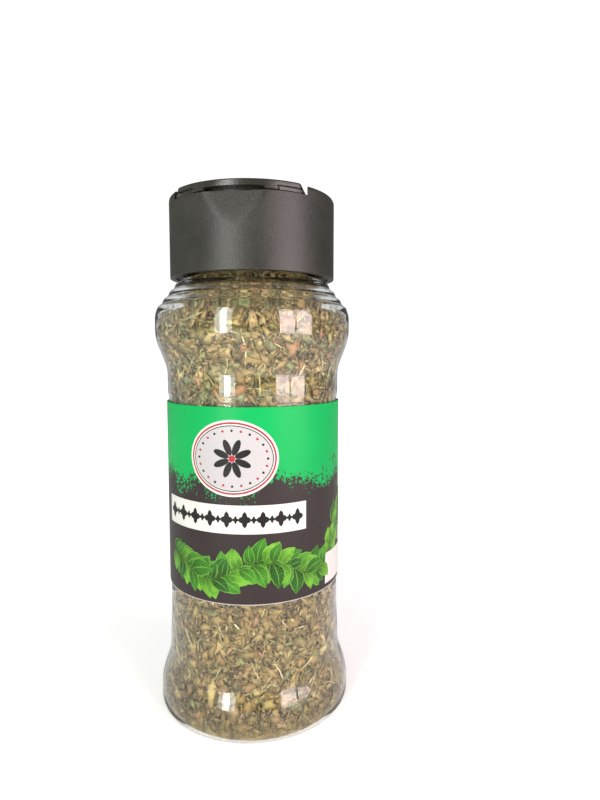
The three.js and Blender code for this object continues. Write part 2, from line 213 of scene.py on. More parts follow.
class StageSettings(bpy.types.PropertyGroup):
    window: FloatProperty(
        name="Window", description="Power of the main window light", default=1.3, min=0.0, unit="POWER"
    )
    sky: FloatProperty(name="Sky", description="Brightness of the surroundings", default=0.45, min=0.0)
    mirrored: FloatProperty(
        name="Mirrored", description="Brightness of the surroundings in reflections", default=0.2, min=0.0
    )


class SpiceJarSettings(bpy.types.PropertyGroup):
    jar: PointerProperty(type=JarSettings)
    herb: PointerProperty(type=HerbSettings)
    label: PointerProperty(type=LabelSettings)
    cap: PointerProperty(type=CapSettings)
    stage: PointerProperty(type=StageSettings)


# Lines and surfaces


def resampled(line, effort, count):
    """Count points along a line, at equal steps of an effort that rises along it."""
    at = np.linspace(0.0, effort[-1], count)
    return np.column_stack([np.interp(at, effort, line[:, k]) for k in range(2)])


def softened(points, spacing, reach):
    """Resamples a line at equal steps and replaces each point by the mean of its neighbours
    within reach, which rounds every corner. The ends stay where they are."""
    line = np.asarray(points, float)
    along = np.concatenate([[0.0], np.cumsum(np.hypot(*np.diff(line, axis=0).T))])
    even = resampled(line, along, int(round(along[-1] / spacing)) + 1)
    width = max(1, int(round(reach / spacing)))
    kernel = np.ones(2 * width + 1) / (2 * width + 1)
    before = 2 * even[0] - even[width:0:-1]
    after = 2 * even[-1] - even[-2 : -width - 2 : -1]
    padded = np.vstack([before, even, after])
    return np.column_stack([np.convolve(padded[:, k], kernel, "valid") for k in range(2)])


def thinned(line, count, bend_weight=2.0):
    """Picks count points along a line, closer together where it bends: equal steps of
    length plus bend_weight times the angle turned."""
    step = np.diff(line, axis=0)
    heading = np.unwrap(np.arctan2(step[:, 1], step[:, 0]))
    turned_by = np.concatenate([[0.0], np.abs(np.diff(heading))])
    effort = np.concatenate([[0.0], np.cumsum(np.hypot(*step.T) + bend_weight * turned_by)])
    return resampled(line, effort, count)


def smooth_step(low, high, value):
    """0 below low, 1 above high and a smooth ramp between."""
    t = np.clip((value - low) / (high - low), 0.0, 1.0)
    return t * t * (3 - 2 * t)


def eased(r0, z0, r1, z1, steps):
    """A curve from one radius to another that is upright at both ends: radius = smoothstep of height."""
    t = np.linspace(0.0, 1.0, steps + 1)
    return list(zip(r0 + (r1 - r0) * smooth_step(0.0, 1.0, t), z0 + (z1 - z0) * t))


def lattice_noise(points, cell, seed):
    """Values between -1 and 1 that change smoothly in space: random numbers on a lattice of
    cubes, blended by smoothstep between the eight corners around each point."""
    table = np.random.default_rng(seed).uniform(-1.0, 1.0, 4096)
    hash_primes = np.array([73856093, 19349663, 83492791])
    scaled = np.asarray(points) / cell
    base = np.floor(scaled).astype(np.int64)
    part = smooth_step(0.0, 1.0, scaled - base)
    total = np.zeros(scaled.shape[:-1])
    for corner in range(8):
        step = np.array([corner & 1, (corner >> 1) & 1, corner >> 2])
        key = ((base + step) * hash_primes).sum(-1) % len(table)
        total += table[key] * np.where(step == 1, part, 1 - part).prod(-1)
    return total


def vectors(x, y, z):
    """Points or directions with these coordinates, spread to a common shape."""
    return np.stack(np.broadcast_arrays(x, y, z), -1)


def around_z(radius, azimuth, z):
    """Points at a radius and an azimuth from the front: (r sin a, -r cos a, z)."""
    return vectors(radius * np.sin(azimuth), -radius * np.cos(azimuth), z)


def turned(profile, sides):
    """Rings of a profile of (radius, height) turned about Z."""
    azimuth = np.linspace(0.0, 2 * np.pi, sides, endpoint=False)
    r, z = np.asarray(profile, float).T[..., None]
    return around_z(r, azimuth, z)


def oval(half_across, half_up, corners=96):
    """An ellipse, counterclockwise: (a cos t, b sin t)."""
    angle = np.linspace(0, 2 * np.pi, corners, endpoint=False)
    return np.column_stack([half_across * np.cos(angle), half_up * np.sin(angle)])


def grid_faces(rows, columns, wrap_rows=False, wrap_columns=True):
    """Four-sided faces between neighbouring points of a grid of rows and columns."""
    row, column = np.meshgrid(
        np.arange(rows if wrap_rows else rows - 1),
        np.arange(columns if wrap_columns else columns - 1),
        indexing="ij",
    )
    next_row = (row + 1) % rows
    next_column = (column + 1) % columns
    corners = [row * columns + column, row * columns + next_column]
    corners += [next_row * columns + next_column, next_row * columns + column]
    return np.stack(corners, -1).reshape(-1, 4)


def skin_faces(rows, columns):
    """Faces of a closed skin of rings: the grid between them, and a fan over each end ring to one
    of the two points that follow the grid's."""
    place = np.arange(columns)
    following = (place + 1) % columns
    last = (rows - 1) * columns
    pole = np.full(columns, rows * columns)
    first_fan = np.column_stack([pole, following, place])
    last_fan = np.column_stack([pole + 1, last + place, last + following])
    return [grid_faces(rows, columns), np.vstack([first_fan, last_fan])]


def ring_stack(grid):
    """Points and faces of a closed skin through rings of points, grid[ring, place]. Its end rings
    are closed with fans to their mean points."""
    points = np.vstack([grid.reshape(-1, 3), grid[0].mean(0), grid[-1].mean(0)])
    return points, skin_faces(*grid.shape[:2])


def repeated(faces, count, points_each):
    """Arrays of one shape's faces, repeated for count shapes with the same number of points."""
    step = points_each * np.arange(count)[:, None, None]
    return [(face[None] + step).reshape(-1, face.shape[1]) for face in faces]


def joined(shells):
    """Several closed skins, each a pair of points and face arrays, as one pair."""
    points, by_size, start = [], {}, 0
    for shell_points, shell_faces in shells:
        points.append(shell_points)
        for face in shell_faces:
            by_size.setdefault(face.shape[1], []).append(face + start)
        start += len(shell_points)
    return np.vstack(points), [np.vstack(group) for group in by_size.values()]


def extruded(outline, low, high):
    """A closed skin of an outline that runs counterclockwise seen from above, between two heights."""
    return ring_stack(np.array([vectors(*outline.T, z) for z in (low, high)]))


def mesh_object(name, points, faces, sharp_degrees=35.0):
    """A mesh object from points in millimetres and a list of face arrays, one array for each
    number of corners."""
    mesh = bpy.data.meshes.new(name)
    corners = np.concatenate([face.ravel() for face in faces]).astype(np.int32)
    sizes = np.concatenate([np.full(len(face), face.shape[1]) for face in faces])
    starts = np.concatenate([[0], np.cumsum(sizes)[:-1]]).astype(np.int32)
    mesh.vertices.add(len(points))
    mesh.vertices.foreach_set("co", (np.asarray(points) * MM).astype(np.float32).ravel())
    mesh.loops.add(len(corners))
    mesh.loops.foreach_set("vertex_index", corners)
    mesh.polygons.add(len(sizes))
    mesh.polygons.foreach_set("loop_start", starts)
    mesh.update(calc_edges=True)
    mesh.validate()
    if sharp_degrees > 0:
        shade(mesh, sharp_degrees)
    piece = bpy.data.objects.new(name, mesh)
    bpy.context.scene.collection.objects.link(piece)
    return piece


def shade(mesh, sharp_degrees):
    """Smooth shading, with edges sharper than an angle kept crisp."""
    mesh.shade_smooth()
    if sharp_degrees < 180:
        mesh.set_sharp_from_angle(angle=math.radians(sharp_degrees))


def apply_modifiers(piece):
    """Turns what the modifiers make into the piece's own mesh."""
    bpy.context.view_layer.update()
    evaluated = piece.evaluated_get(bpy.context.evaluated_depsgraph_get())
    mesh = bpy.data.meshes.new_from_object(evaluated)
    old = piece.data
    piece.modifiers.clear()
    piece.data = mesh
    bpy.data.meshes.remove(old)
    mesh.name = piece.name


def cut_away(piece, shells):
    """Takes closed skins away from a piece with a Boolean modifier, which is then applied."""
    cutter = mesh_object(piece.name + "_cutter", *joined(shells))
    modifier = piece.modifiers.new("cut", "BOOLEAN")
    modifier.operation = "DIFFERENCE"
    modifier.solver = "EXACT"
    modifier.object = cutter
    apply_modifiers(piece)
    bpy.data.objects.remove(cutter)


def tinted(piece, colours, points_each):
    """Stores one colour for each shape in a piece on all its points, as the attribute 'tint'."""
    attribute = piece.data.attributes.new("tint", "FLOAT_COLOR", "POINT")
    values = np.ones((len(piece.data.vertices), 4), np.float32)
    values[:, :3] = np.repeat(colours, points_each, axis=0)
    attribute.data.foreach_set("color", values.ravel())


def place_on(piece, body, slot, finish, *nodes):
    """Gives a piece its finish and says which body it rides and the nodes it stands for. The slot is not
    used.
    """
    piece.data.materials.clear()
    piece.data.materials.append(finish)
    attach(piece, body)
    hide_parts(*nodes)


# Materials


class Nodes:
    """A node tree in the making."""

    def __init__(self, tree):
        self.tree = tree

    def add(self, kind, settings=None, inputs=None, output=0):
        """Adds a node: its settings first, then the values or links of its sockets."""
        node = self.tree.nodes.new(kind)
        for name, value in (settings or {}).items():
            setattr(node, name, value)
        for name, value in (inputs or {}).items():
            self.plug(node.inputs[name], value)
        return Wire(self, node.outputs[output]) if node.outputs else None

    def plug(self, socket, value):
        """Links a wire to a socket, or sets the socket to a plain value."""
        if isinstance(value, Wire):
            self.tree.links.new(value.socket, socket)
        else:
            socket.default_value = value

    def ray(self, kind):
        """1 where a ray is of a kind and 0 elsewhere."""
        return self.add("ShaderNodeLightPath", output=f"Is {kind} Ray")


class Wire:
    """A socket of a node tree that takes part in Python expressions."""

    def __init__(self, nodes, socket):
        self.nodes = nodes
        self.socket = socket

    def math(self, operation, *values):
        return self.nodes.add("ShaderNodeMath", {"operation": operation}, dict(enumerate(values)))

    def __add__(self, other):
        return self.math("ADD", self, other)

    def __radd__(self, other):
        return self.math("ADD", other, self)

    def __sub__(self, other):
        return self.math("SUBTRACT", self, other)

    def __rsub__(self, other):
        return self.math("SUBTRACT", other, self)

    def __mul__(self, other):
        return self.math("MULTIPLY", self, other)

    def __rmul__(self, other):
        return self.math("MULTIPLY", other, self)

    def __truediv__(self, other):
        return self.math("DIVIDE", self, other)

    def __abs__(self):
        return self.math("ABSOLUTE", self)

    def greatest(self, other):
        return self.math("MAXIMUM", self, other)

    def sine(self):
        return self.math("SINE", self)

    def ramp(self, low, high):
        """0 below low, 1 above high and a smooth ramp between."""
        settings = {"interpolation_type": "SMOOTHSTEP"}
        return self.nodes.add("ShaderNodeMapRange", settings, {0: self, 1: low, 2: high})


def opaque(colour):
    """A plain colour with its alpha, or a wire as it is."""
    return colour if isinstance(colour, Wire) or len(colour) == 4 else (*colour, 1.0)


class Finish(Nodes):
    """A material in the making. Its patterns lie on Object coordinates, in cells to the metre."""

    def __init__(self, name):
        self.material = bpy.data.materials.new(name)
        self.material.use_nodes = True
        super().__init__(self.material.node_tree)
        self.tree.nodes.clear()
        self.place = self.add("ShaderNodeTexCoord", output="Object")

    def tint(self):
        """The colour that tinted() stored."""
        return self.add("ShaderNodeAttribute", {"attribute_name": "tint"}, output="Color")

    def parts(self, vector):
        """The three parts of a vector."""
        return [self.add("ShaderNodeSeparateXYZ", inputs={0: vector}, output=k) for k in range(3)]

    def noise(self, scale, detail=2.0, roughness=0.5):
        values = {"Vector": self.place, "Scale": scale, "Detail": detail, "Roughness": roughness}
        return self.add("ShaderNodeTexNoise", inputs=values)

    def mix(self, share, first, second, blend="MIX"):
        """Blends two colours by a share from 0 to 1."""
        settings = {"data_type": "RGBA", "blend_type": blend}
        return self.add("ShaderNodeMix", settings, {0: share, 6: opaque(first), 7: opaque(second)}, 2)

    def surface(self, values, height, depth, strength=1.0):
        """A Principled surface that a height bumps by a depth."""
        relief = {"Height": height, "Distance": depth, "Strength": strength}
        normal = self.add("ShaderNodeBump", inputs=relief)
        return self.add("ShaderNodeBsdfPrincipled", inputs={**values, "Normal": normal})

    def close(self, shader):
        """Puts a shader on the surface and hands over the finished material."""
        self.add("ShaderNodeOutputMaterial", inputs={"Surface": shader})
        return self.material


def clear_plastic():
    """Clear moulded PET: nearly smooth, with faint waves. Lamps and diffuse light pass straight
    through, so that the herbs behind it are lit."""
    finish = Finish("clear_plastic")
    values = {
        "Base Color": (0.975, 0.985, 0.975, 1.0),
        "Roughness": 0.012,
        "IOR": 1.42,
        "Transmission Weight": 1.0,
    }
    plastic = finish.surface(values, finish.noise(140.0, 1.0), 0.05 * MM)
    open_air = finish.add("ShaderNodeBsdfTransparent", inputs={"Color": (0.93, 0.95, 0.93, 1.0)})
    passing = finish.ray("Shadow").greatest(finish.ray("Diffuse"))
    return finish.close(finish.add("ShaderNodeMixShader", inputs={0: passing, 1: plastic, 2: open_air}))


def dried_leaf():
    """Dried leaf and stalk: each scrap's own tint, mottled with blotches and with painted shade in the
    hollows of its bump, dull and papery.
    """
    finish = Finish("dried_leaf")
    mottle = finish.noise(900.0, 3.0, 0.6)
    grain = finish.noise(5200.0)
    # The mottle darkens the bump's hollows and lightens its rises: leaf blotches, with painted shade in the
    # hollows and painted light on the rises.
    blotches_and_painted_shade = finish.mix(mottle.ramp(0.35, 0.7), (0.84, 0.82, 0.78), (1.14, 1.12, 1.08))
    values = {
        "Base Color": finish.mix(1.0, finish.tint(), blotches_and_painted_shade, "MULTIPLY"),
        "Roughness": 0.62 + 0.25 * mottle,
        "Specular IOR Level": 0.3,
    }
    return finish.close(finish.surface(values, mottle + 0.4 * grain, 0.04 * MM, 0.6))


def shaded_herb_depths():
    """The crumbled mass between and behind the flakes: olive and brown, painted dark for the shade that
    lies among the flakes.
    """
    finish = Finish("shaded_herb_depths")
    lumps = finish.noise(420.0, 4.0, 0.65)
    values = {
        # Both colours are darkened as painted shade, the shade between and behind the flakes.
        "Base Color": finish.mix(lumps.ramp(0.35, 0.65), (0.06, 0.044, 0.016), (0.24, 0.18, 0.075)),
        "Roughness": 0.9,
        "Specular IOR Level": 0.2,
    }
    return finish.close(finish.surface(values, lumps, 0.6 * MM))


def printed(finish, colour, tooth):
    """Closes a printed finish: colour under a dull sheen that follows the paper's tooth."""
    values = {"Base Color": colour, "Specular IOR Level": 0.12, "Roughness": 0.33 + 0.12 * tooth}
    return finish.close(finish.surface(values, tooth, 0.02 * MM))


def printed_paper(green, charcoal):
    """The label's ground: green above and charcoal below, meeting in a ragged spray of specks, with
    a pale cut edge at the foot."""
    finish = Finish("printed_paper")
    height = finish.parts(finish.place)[2] / MM
    cloud = finish.noise(130.0, 3.0, 0.6)
    speck = finish.noise(1500.0, 3.0, 0.7)
    tone = finish.noise(60.0)
    above = height - 60.6 + 20.0 * (cloud - 0.5)
    is_green = (above * 0.045 + speck).ramp(0.47, 0.53)
    upper = finish.mix(tone, green, [1.25 * v for v in green])
    lower = finish.mix(tone, charcoal, [1.35 * v for v in charcoal])
    cut_edge = 1 - (height - LABEL_BOTTOM).ramp(0.12, 0.3)
    colour = finish.mix(cut_edge, finish.mix(is_green, lower, upper), (0.36, 0.33, 0.31))
    return printed(finish, colour, finish.noise(2600.0))


def printed_ornament():
    """Flat inks on the label: each shape's own ink, with a faint paper tooth."""
    finish = Finish("printed_ornament")
    tooth = finish.noise(2600.0)
    unevenness = finish.mix(tooth, (0.9, 0.9, 0.9), (1.05, 1.05, 1.05))
    return printed(finish, finish.mix(1.0, finish.tint(), unevenness, "MULTIPLY"), tooth)


def printed_leaves():
    """Garland leaves: each leaf's own green, darker towards the base, with a pale midrib, side
    veins and a pale edge read from the leaf's own UV map."""
    finish = Finish("printed_leaves")
    along, across, _ = finish.parts(finish.add("ShaderNodeUVMap", {"uv_map": "leaf"}))
    side = abs(across)
    midrib = 1 - side.ramp(0.03, 0.1)
    veins = ((along - 0.35 * side) * 46.0).sine().ramp(0.55, 0.98) * (1 - side.ramp(0.5, 0.9))
    rim = side.ramp(0.72, 0.98)
    blotch = finish.noise(700.0)
    shading = finish.mix(along.ramp(0.0, 0.75), (0.3, 0.38, 0.25), (1.1, 1.1, 1.1))
    colour = finish.mix(1.0, finish.tint(), shading, "MULTIPLY")
    colour = finish.mix(0.5 * blotch.ramp(0.4, 0.7), colour, (0.01, 0.07, 0.01))
    pale = (0.5 * midrib).greatest(0.28 * veins).greatest(0.55 * rim)
    return printed(finish, finish.mix(pale, colour, (0.16, 0.33, 0.05)), finish.noise(2600.0))


def black_plastic(name, colour, roughness, grain_depth):
    """Moulded cap plastic: charcoal with a fine spark-eroded grain and soft flow marks."""
    finish = Finish(name)
    grain = finish.noise(3400.0, 2.0, 0.6)
    cloud = finish.noise(110.0, 3.0, 0.6)
    tone = finish.mix(cloud.ramp(0.3, 0.7), colour, [1.7 * v for v in colour])
    values = {
        "Base Color": finish.mix(grain.ramp(0.55, 0.75), tone, [3.0 * v for v in colour]),
        "Roughness": roughness + 0.1 * cloud,
        "Specular IOR Level": 0.36,
    }
    return finish.close(finish.surface(values, grain, grain_depth))


def pale_floor():
    """Matt pale studio paper with a barely seen tooth. It glows more further out, so that it runs
    into the white backdrop, and the glow isn't seen in reflections."""
    finish = Finish("pale_floor")
    tooth = finish.noise(900.0, 3.0)
    reach = finish.add("ShaderNodeVectorMath", {"operation": "LENGTH"}, {0: finish.place}, 1)
    glow = finish.mix(reach.ramp(0.02, 0.3), (0.3, 0.3, 0.3), (0.8, 0.8, 0.8))
    values = {
        "Base Color": finish.mix(tooth, (0.9, 0.9, 0.9), (0.96, 0.96, 0.96)),
        "Roughness": 0.9,
        "Emission Color": finish.mix(finish.ray("Glossy"), glow, (0.0, 0.0, 0.0)),
        "Emission Strength": 1.0,
    }
    return finish.close(finish.surface(values, tooth, 0.05 * MM))


# Jar


def bead(wall_radius, crest_radius, z):
    """A level bead on a wall, flat on its crest, with sloped sides."""
    radii = (wall_radius, crest_radius, crest_radius, wall_radius)
    return [(radius, z + step * BEAD_HALF) for radius, step in zip(radii, (-2, -1, 1, 2))]


def jar_outside(ribbed=True):
    """The outer profile from the middle of the base up to the neck's rim."""
    heel = np.linspace(0.0, np.pi / 2, 9)
    centre = BULGE_RADIUS - HEEL_RADIUS
    line = [(0.0, PUSH_UP), (FOOT_INNER_RADIUS - 1.5, PUSH_UP_SHOULDER), (FOOT_INNER_RADIUS, 0.0)]
    line += zip(centre + HEEL_RADIUS * np.sin(heel), HEEL_RADIUS * (1 - np.cos(heel)))
    line += eased(BULGE_RADIUS, LOW_BULGE_TOP, LOW_FLANK_RADIUS, LOW_FLANK_TOP, 24)
    line += eased(LOW_FLANK_RADIUS, LOW_FLANK_TOP, WAIST_RADIUS, LOW_WAIST_Z, 12)[1:]
    line += [(WAIST_RADIUS, PANEL_BOTTOM - PANEL_EASE), (PANEL_RADIUS, PANEL_BOTTOM)]
    line += [(PANEL_RADIUS, PANEL_TOP), (WAIST_RADIUS, PANEL_TOP + PANEL_EASE)]
    line += eased(WAIST_RADIUS, HIGH_WAIST_Z, BULGE_RADIUS, HIGH_BULGE_BOTTOM, 24)
    line += [(BULGE_RADIUS, HIGH_BULGE_TOP), SHOULDER_START]
    steps = np.array([RIB_RISER, RIB_TREAD] * RIB_COUNT) * (-1.0, 1.0)
    ribs = np.array(SHOULDER_START) + np.cumsum(steps, axis=0)
    line += [tuple(point) for point in (ribs if ribbed else ribs[-1:])]
    line += [(NECK_RADIUS, ribs[-1][1] + 0.4)]
    for z in NECK_BEADS:
        line += bead(NECK_RADIUS, NECK_BEAD_RADIUS, z)
    return line + [(NECK_RADIUS, NECK_TOP)]


def jar_inside(wall):
    """The inner profile from the middle of the floor up to the neck's rim: the outer profile without
    its ribs, moved inward along its normals by the wall, which thickens towards the neck."""
    line = softened(jar_outside(ribbed=False), spacing=0.1, reach=0.3)
    line = line[: np.searchsorted(line[:, 1] > NECK_BOTTOM - 0.3, True)]
    along = np.gradient(line, axis=0)
    normal = np.column_stack([along[:, 1], -along[:, 0]]) / np.hypot(*along.T)[:, None]
    neck_wall = 0.5 * (NECK_RADIUS - NECK_BORE)
    thickness = wall + (neck_wall - wall) * smooth_step(NECK_BOTTOM - 3.0, NECK_BOTTOM - 0.5, line[:, 1])
    moved = line - normal * thickness[:, None]
    moved = np.vstack([moved, [(NECK_BORE, NECK_BOTTOM + 1.5), (NECK_BORE, NECK_TOP)]])
    return softened(moved, spacing=0.1, reach=0.5)


def side_wall(wall):
    """Heights and radii of the inner wall above the heel, with the heights rising. It starts at the
    lowest point, the outermost where several are as low."""
    line = jar_inside(wall)
    line = line[np.argmin(line[:, 1] + 1e-3 * (NECK_RADIUS - line[:, 0])) :]
    return np.maximum.accumulate(line[:, 1]), line[:, 0]


class SPICEJAR_OT_jar(bpy.types.Operator):
    """Builds the clear jar as an outer and an inner wall turned about Z"""

    bl_idname = "spicejar.jar"
    bl_label = "Jar"

    def execute(self, context):
        settings = context.scene.spice_jar.jar
        outside = thinned(softened(jar_outside(), spacing=0.08, reach=0.3), count=210)
        inside = thinned(jar_inside(settings.wall / MM), count=80)[::-1]
        inner_rings = turned(inside, settings.sides)
        wander = lattice_noise(inner_rings, cell=7.0, seed=3) * settings.waviness / MM
        inner_rings[..., :2] *= 1 - wander[..., None] / np.maximum(inside[:, 0], 4.0)[:, None, None]
        rings = np.concatenate([turned(outside, settings.sides)[1:], inner_rings[:-1]])
        jar = mesh_object("jar_wall", *ring_stack(rings), sharp_degrees=180.0)
        place_on(jar, "jar", "clear_plastic", clear_plastic(), "jar_body")
        return {"FINISHED"}


# Herb fill

# Colours of the dried herb in linear light, with their shares
LEAF_TINTS = np.array([
    (0.272, 0.190, 0.071),
    (0.330, 0.240, 0.096),
    (0.405, 0.313, 0.142),
    (0.172, 0.122, 0.042),
    (0.190, 0.178, 0.070),
    (0.215, 0.228, 0.104),
    (0.330, 0.185, 0.092),
    (0.080, 0.055, 0.020),
])
LEAVES_OF = {
    "lower": (LEAF_TINTS, np.array([0.37, 0.29, 0.12, 0.10, 0.05, 0.02, 0.01, 0.04])),
    "upper": (LEAF_TINTS, np.array([0.23, 0.20, 0.13, 0.12, 0.11, 0.12, 0.05, 0.04])),
}
STALK_TINTS = np.array([(0.50, 0.46, 0.26), (0.38, 0.34, 0.17), (0.62, 0.56, 0.36), (0.30, 0.22, 0.10)])
STALKS_OF = (STALK_TINTS, np.array([0.35, 0.35, 0.2, 0.1]))

# A kind of scrap: the mean, spread, least and greatest of its length, its corners, the range of its
# width as a share of its length, its thickness and curl, how deep it lies, and its tilt in degrees
Scrap = namedtuple("Scrap", "mean spread least most corners narrow thickness curl depth tilt")


def kinds_of_scrap(leaf):
    """Every kind of scrap, for the length of a middling leaf."""
    return {
        "broad": Scrap(1.6 * leaf, 0.25, 3.0, 8.0, 12, (0.35, 0.8), 0.03, 0.08, (0, 0.2), 4),
        "leaves": Scrap(leaf, 0.35, 1.2, 6.0, 9, (0.2, 0.65), 0.04, 0.2, (0.1, 1.0), 15),
        "shreds": Scrap(3.0, 0.3, 1.4, 6.0, 8, (0.09, 0.24), 0.06, 0.3, (0.1, 0.9), 12),
        "crumbs": Scrap(1.3, 0.3, 0.6, 2.4, 6, (0.35, 0.9), 0.08, 0.35, (0.2, 1.2), 24),
        "loose": Scrap(2.4, 0.3, 1.2, 4.5, 8, (0.4, 0.8), 0.12, 0.5, (0, 1.8), 26),
    }


def scraps(rng, count, kind):
    """Torn leaf scraps about the origin: an uneven outline, thickest in the middle and curled up
    along its length and folded along its midrib, with a fan above and a fan below it. Returns
    points[scrap, corner, 3] and faces."""
    length = np.clip(rng.lognormal(np.log(kind.mean), kind.spread, count), kind.least, kind.most)[:, None]
    width = length * rng.uniform(*kind.narrow, count)[:, None]
    every_corner = (count, kind.corners)
    place = np.arange(kind.corners)
    angle = (place + rng.uniform(-0.28, 0.28, every_corner)) * 2 * np.pi / kind.corners
    angle += rng.uniform(0, 2 * np.pi, (count, 1))
    reach = rng.uniform(0.4, 1.2, every_corner)
    long_way = 0.5 * length * reach * np.cos(angle)
    short_way = 0.5 * width * reach * np.sin(angle)
    fold = rng.uniform(-0.3, 0.4, (count, 1)) * np.abs(short_way)
    bend = rng.uniform(-kind.curl, kind.curl, (count, 1)) * long_way**2 / length
    wobble = rng.uniform(-0.035, 0.035, every_corner) * length
    rim = vectors(long_way, short_way, fold + bend + wobble)
    middle = np.zeros((count, 2, 3))
    middle[..., 2] = (kind.thickness / 2, -kind.thickness / 2)
    following = (place + 1) % kind.corners
    above = np.column_stack([place, following, np.full(kind.corners, kind.corners)])
    below = np.column_stack([following, place, np.full(kind.corners, kind.corners + 1)])
    faces = repeated([np.vstack([above, below])], count, kind.corners + 2)
    return np.concatenate([rim, middle], 1), faces


def stalk_bits(rng, count):
    """Broken stalks about the origin: a five-sided tube of four rings, slightly bent and tapered,
    with closed ends. Returns points[stalk, corner, 3] and faces."""
    rings, sides = 4, 5
    length = np.clip(rng.lognormal(np.log(4.4), 0.35, count), 1.8, 9.0)[:, None]
    radius = rng.uniform(0.07, 0.2, count)[:, None, None]
    along = np.linspace(-0.5, 0.5, rings)
    around = np.arange(sides) * 2 * np.pi / sides
    swell = 1 - 0.35 * (along + 0.5) + rng.uniform(-0.12, 0.12, (count, rings))
    bend = rng.uniform(-0.16, 0.16, (count, 1)) * length * (along**2 - 0.25) * 2
    kink = rng.uniform(-0.03, 0.03, (count, rings)) * length
    ring_radius = radius * swell[:, :, None]
    y = ring_radius * np.cos(around) + (bend + kink)[:, :, None]
    tube = vectors((length * along)[:, :, None], y, ring_radius * np.sin(around))
    ends = tube[:, [0, -1]].mean(2)
    points = np.concatenate([tube.reshape(count, rings * sides, 3), ends], 1)
    return points, repeated(skin_faces(rings, sides), count, rings * sides + 2)


def turn_matrices(spin, tilt, tilt_heading):
    """Rotations that spin a scrap about its own normal, then tilt it about an axis in its plane."""
    spinning = np.stack([
        vectors(np.cos(spin), -np.sin(spin), 0.0),
        vectors(np.sin(spin), np.cos(spin), 0.0),
        vectors(0.0, 0.0, np.ones_like(spin)),
    ], 1)
    kx, ky = np.cos(tilt_heading), np.sin(tilt_heading)
    c, s = np.cos(tilt), np.sin(tilt)
    tilting = np.stack([
        vectors(c + kx * kx * (1 - c), kx * ky * (1 - c), ky * s),
        vectors(kx * ky * (1 - c), c + ky * ky * (1 - c), -kx * s),
        vectors(-ky * s, kx * s, c),
    ], 1)
    return tilting @ spinning


def shoulder_gap(z):
    """How much further the herb stays from the wall under the ribbed shoulder."""
    return SHOULDER_GAP * smooth_step(98.0, 101.5, z) * (1 - smooth_step(106.5, 109.0, z))


def painted_shade_at(z):
    """Painted shade on the herb by height: darker at the foot and in the neck, where the cap's lip shades
    it.
    """
    return (0.68 + 0.32 * smooth_step(2.0, 14.0, z)) * (1 - 0.65 * smooth_step(103.0, 108.5, z))


def laid_on_wall(local, azimuth, z, turns, depth, side):
    """Stands scraps against the inner wall with their normals outward, then slides each along the
    radius until its outermost corner lies depth inside the wall. Lifts those that reach the floor."""
    lean = np.arctan2(np.interp(z + 1, *side) - np.interp(z - 1, *side), 2.0)[:, None]
    outward = around_z(1.0, azimuth, 0.0)
    sideways = vectors(np.cos(azimuth), np.sin(azimuth), 0.0)
    upward = np.array([0.0, 0.0, 1.0])
    up_wall = np.cos(lean) * upward + np.sin(lean) * outward
    off_wall = np.cos(lean) * outward - np.sin(lean) * upward
    axes = np.stack([sideways, up_wall, off_wall], -1) @ turns
    points = np.einsum("nij,nkj->nki", axes, local)
    points += (outward * (np.interp(z, *side) - 1.0)[:, None] + upward * z[:, None])[:, None, :]
    low = points[..., 2].min(1)
    points[..., 2] += np.maximum(0.0, side[0][0] + FLOOR_CLEARANCE - low)[:, None]
    for _ in range(2):
        excess = (np.hypot(points[..., 0], points[..., 1]) - np.interp(points[..., 2], *side)).max(1)
        excess += GLASS_CLEARANCE + depth + shoulder_gap(z)
        points -= (outward * excess[:, None])[:, None, :]
    return points


def spread(rng, count, zone):
    """Azimuths and heights that cover a band of the wall evenly: a golden-ratio spiral with jitter."""
    index = np.arange(count) + 0.5
    azimuth = 2 * np.pi * ((index * 0.6180339887) % 1) + rng.normal(0, 0.05, count)
    z = zone[0] + (zone[1] - zone[0]) * index / count + rng.normal(0, 0.8, count)
    return azimuth, np.clip(z, zone[0] - 1, zone[1] + 1)


def picked_tints(rng, count, tints, shares):
    """A colour for each scrap: one of a few tints, made a little lighter or darker."""
    base = tints[rng.choice(len(tints), count, p=shares / shares.sum())]
    brightness = rng.lognormal(0.0, 0.16, (count, 1))
    return np.clip(base * brightness * rng.uniform(0.94, 1.06, (count, 3)), 0, 0.9)


def herb_mass(name, wall):
    """The crumbled core: the inner profile drawn in along the radius, little at the foot and by
    CORE_DEPTH higher up, closed by a dome and roughened by lattice noise."""
    line = jar_inside(wall)
    line = line[: np.searchsorted(line[:, 1] > FILL_TOP, True)]
    depth = FOOT_DEPTH + (CORE_DEPTH - FOOT_DEPTH) * smooth_step(1.0, 7.0, line[:, 1])
    depth = np.where(line[:, 0] < FOOT_INNER_RADIUS, 0.0, depth) + shoulder_gap(line[:, 1])
    drawn_in = np.column_stack([np.maximum(line[:, 0] - depth, 0.3), line[:, 1] + CORE_LIFT])
    dome = [(NECK_BORE / 2, FILL_TOP + 0.7 * FILL_DOME), (0.5, FILL_TOP + FILL_DOME)]
    rings = turned(thinned(np.vstack([drawn_in, dome]), count=260, bend_weight=0.5), sides=120)
    rough = 0.55 * lattice_noise(rings, cell=1.9, seed=11) + 0.45 * lattice_noise(rings, cell=0.9, seed=12)
    radius = np.hypot(rings[..., 0], rings[..., 1])
    strength = 0.1 + 0.8 * smooth_step(1.0, 7.0, rings[..., 2])
    rings[..., :2] *= (1 + strength * rough / np.maximum(radius, 8.0))[..., None]
    return mesh_object(name, *ring_stack(rings), sharp_degrees=180.0)


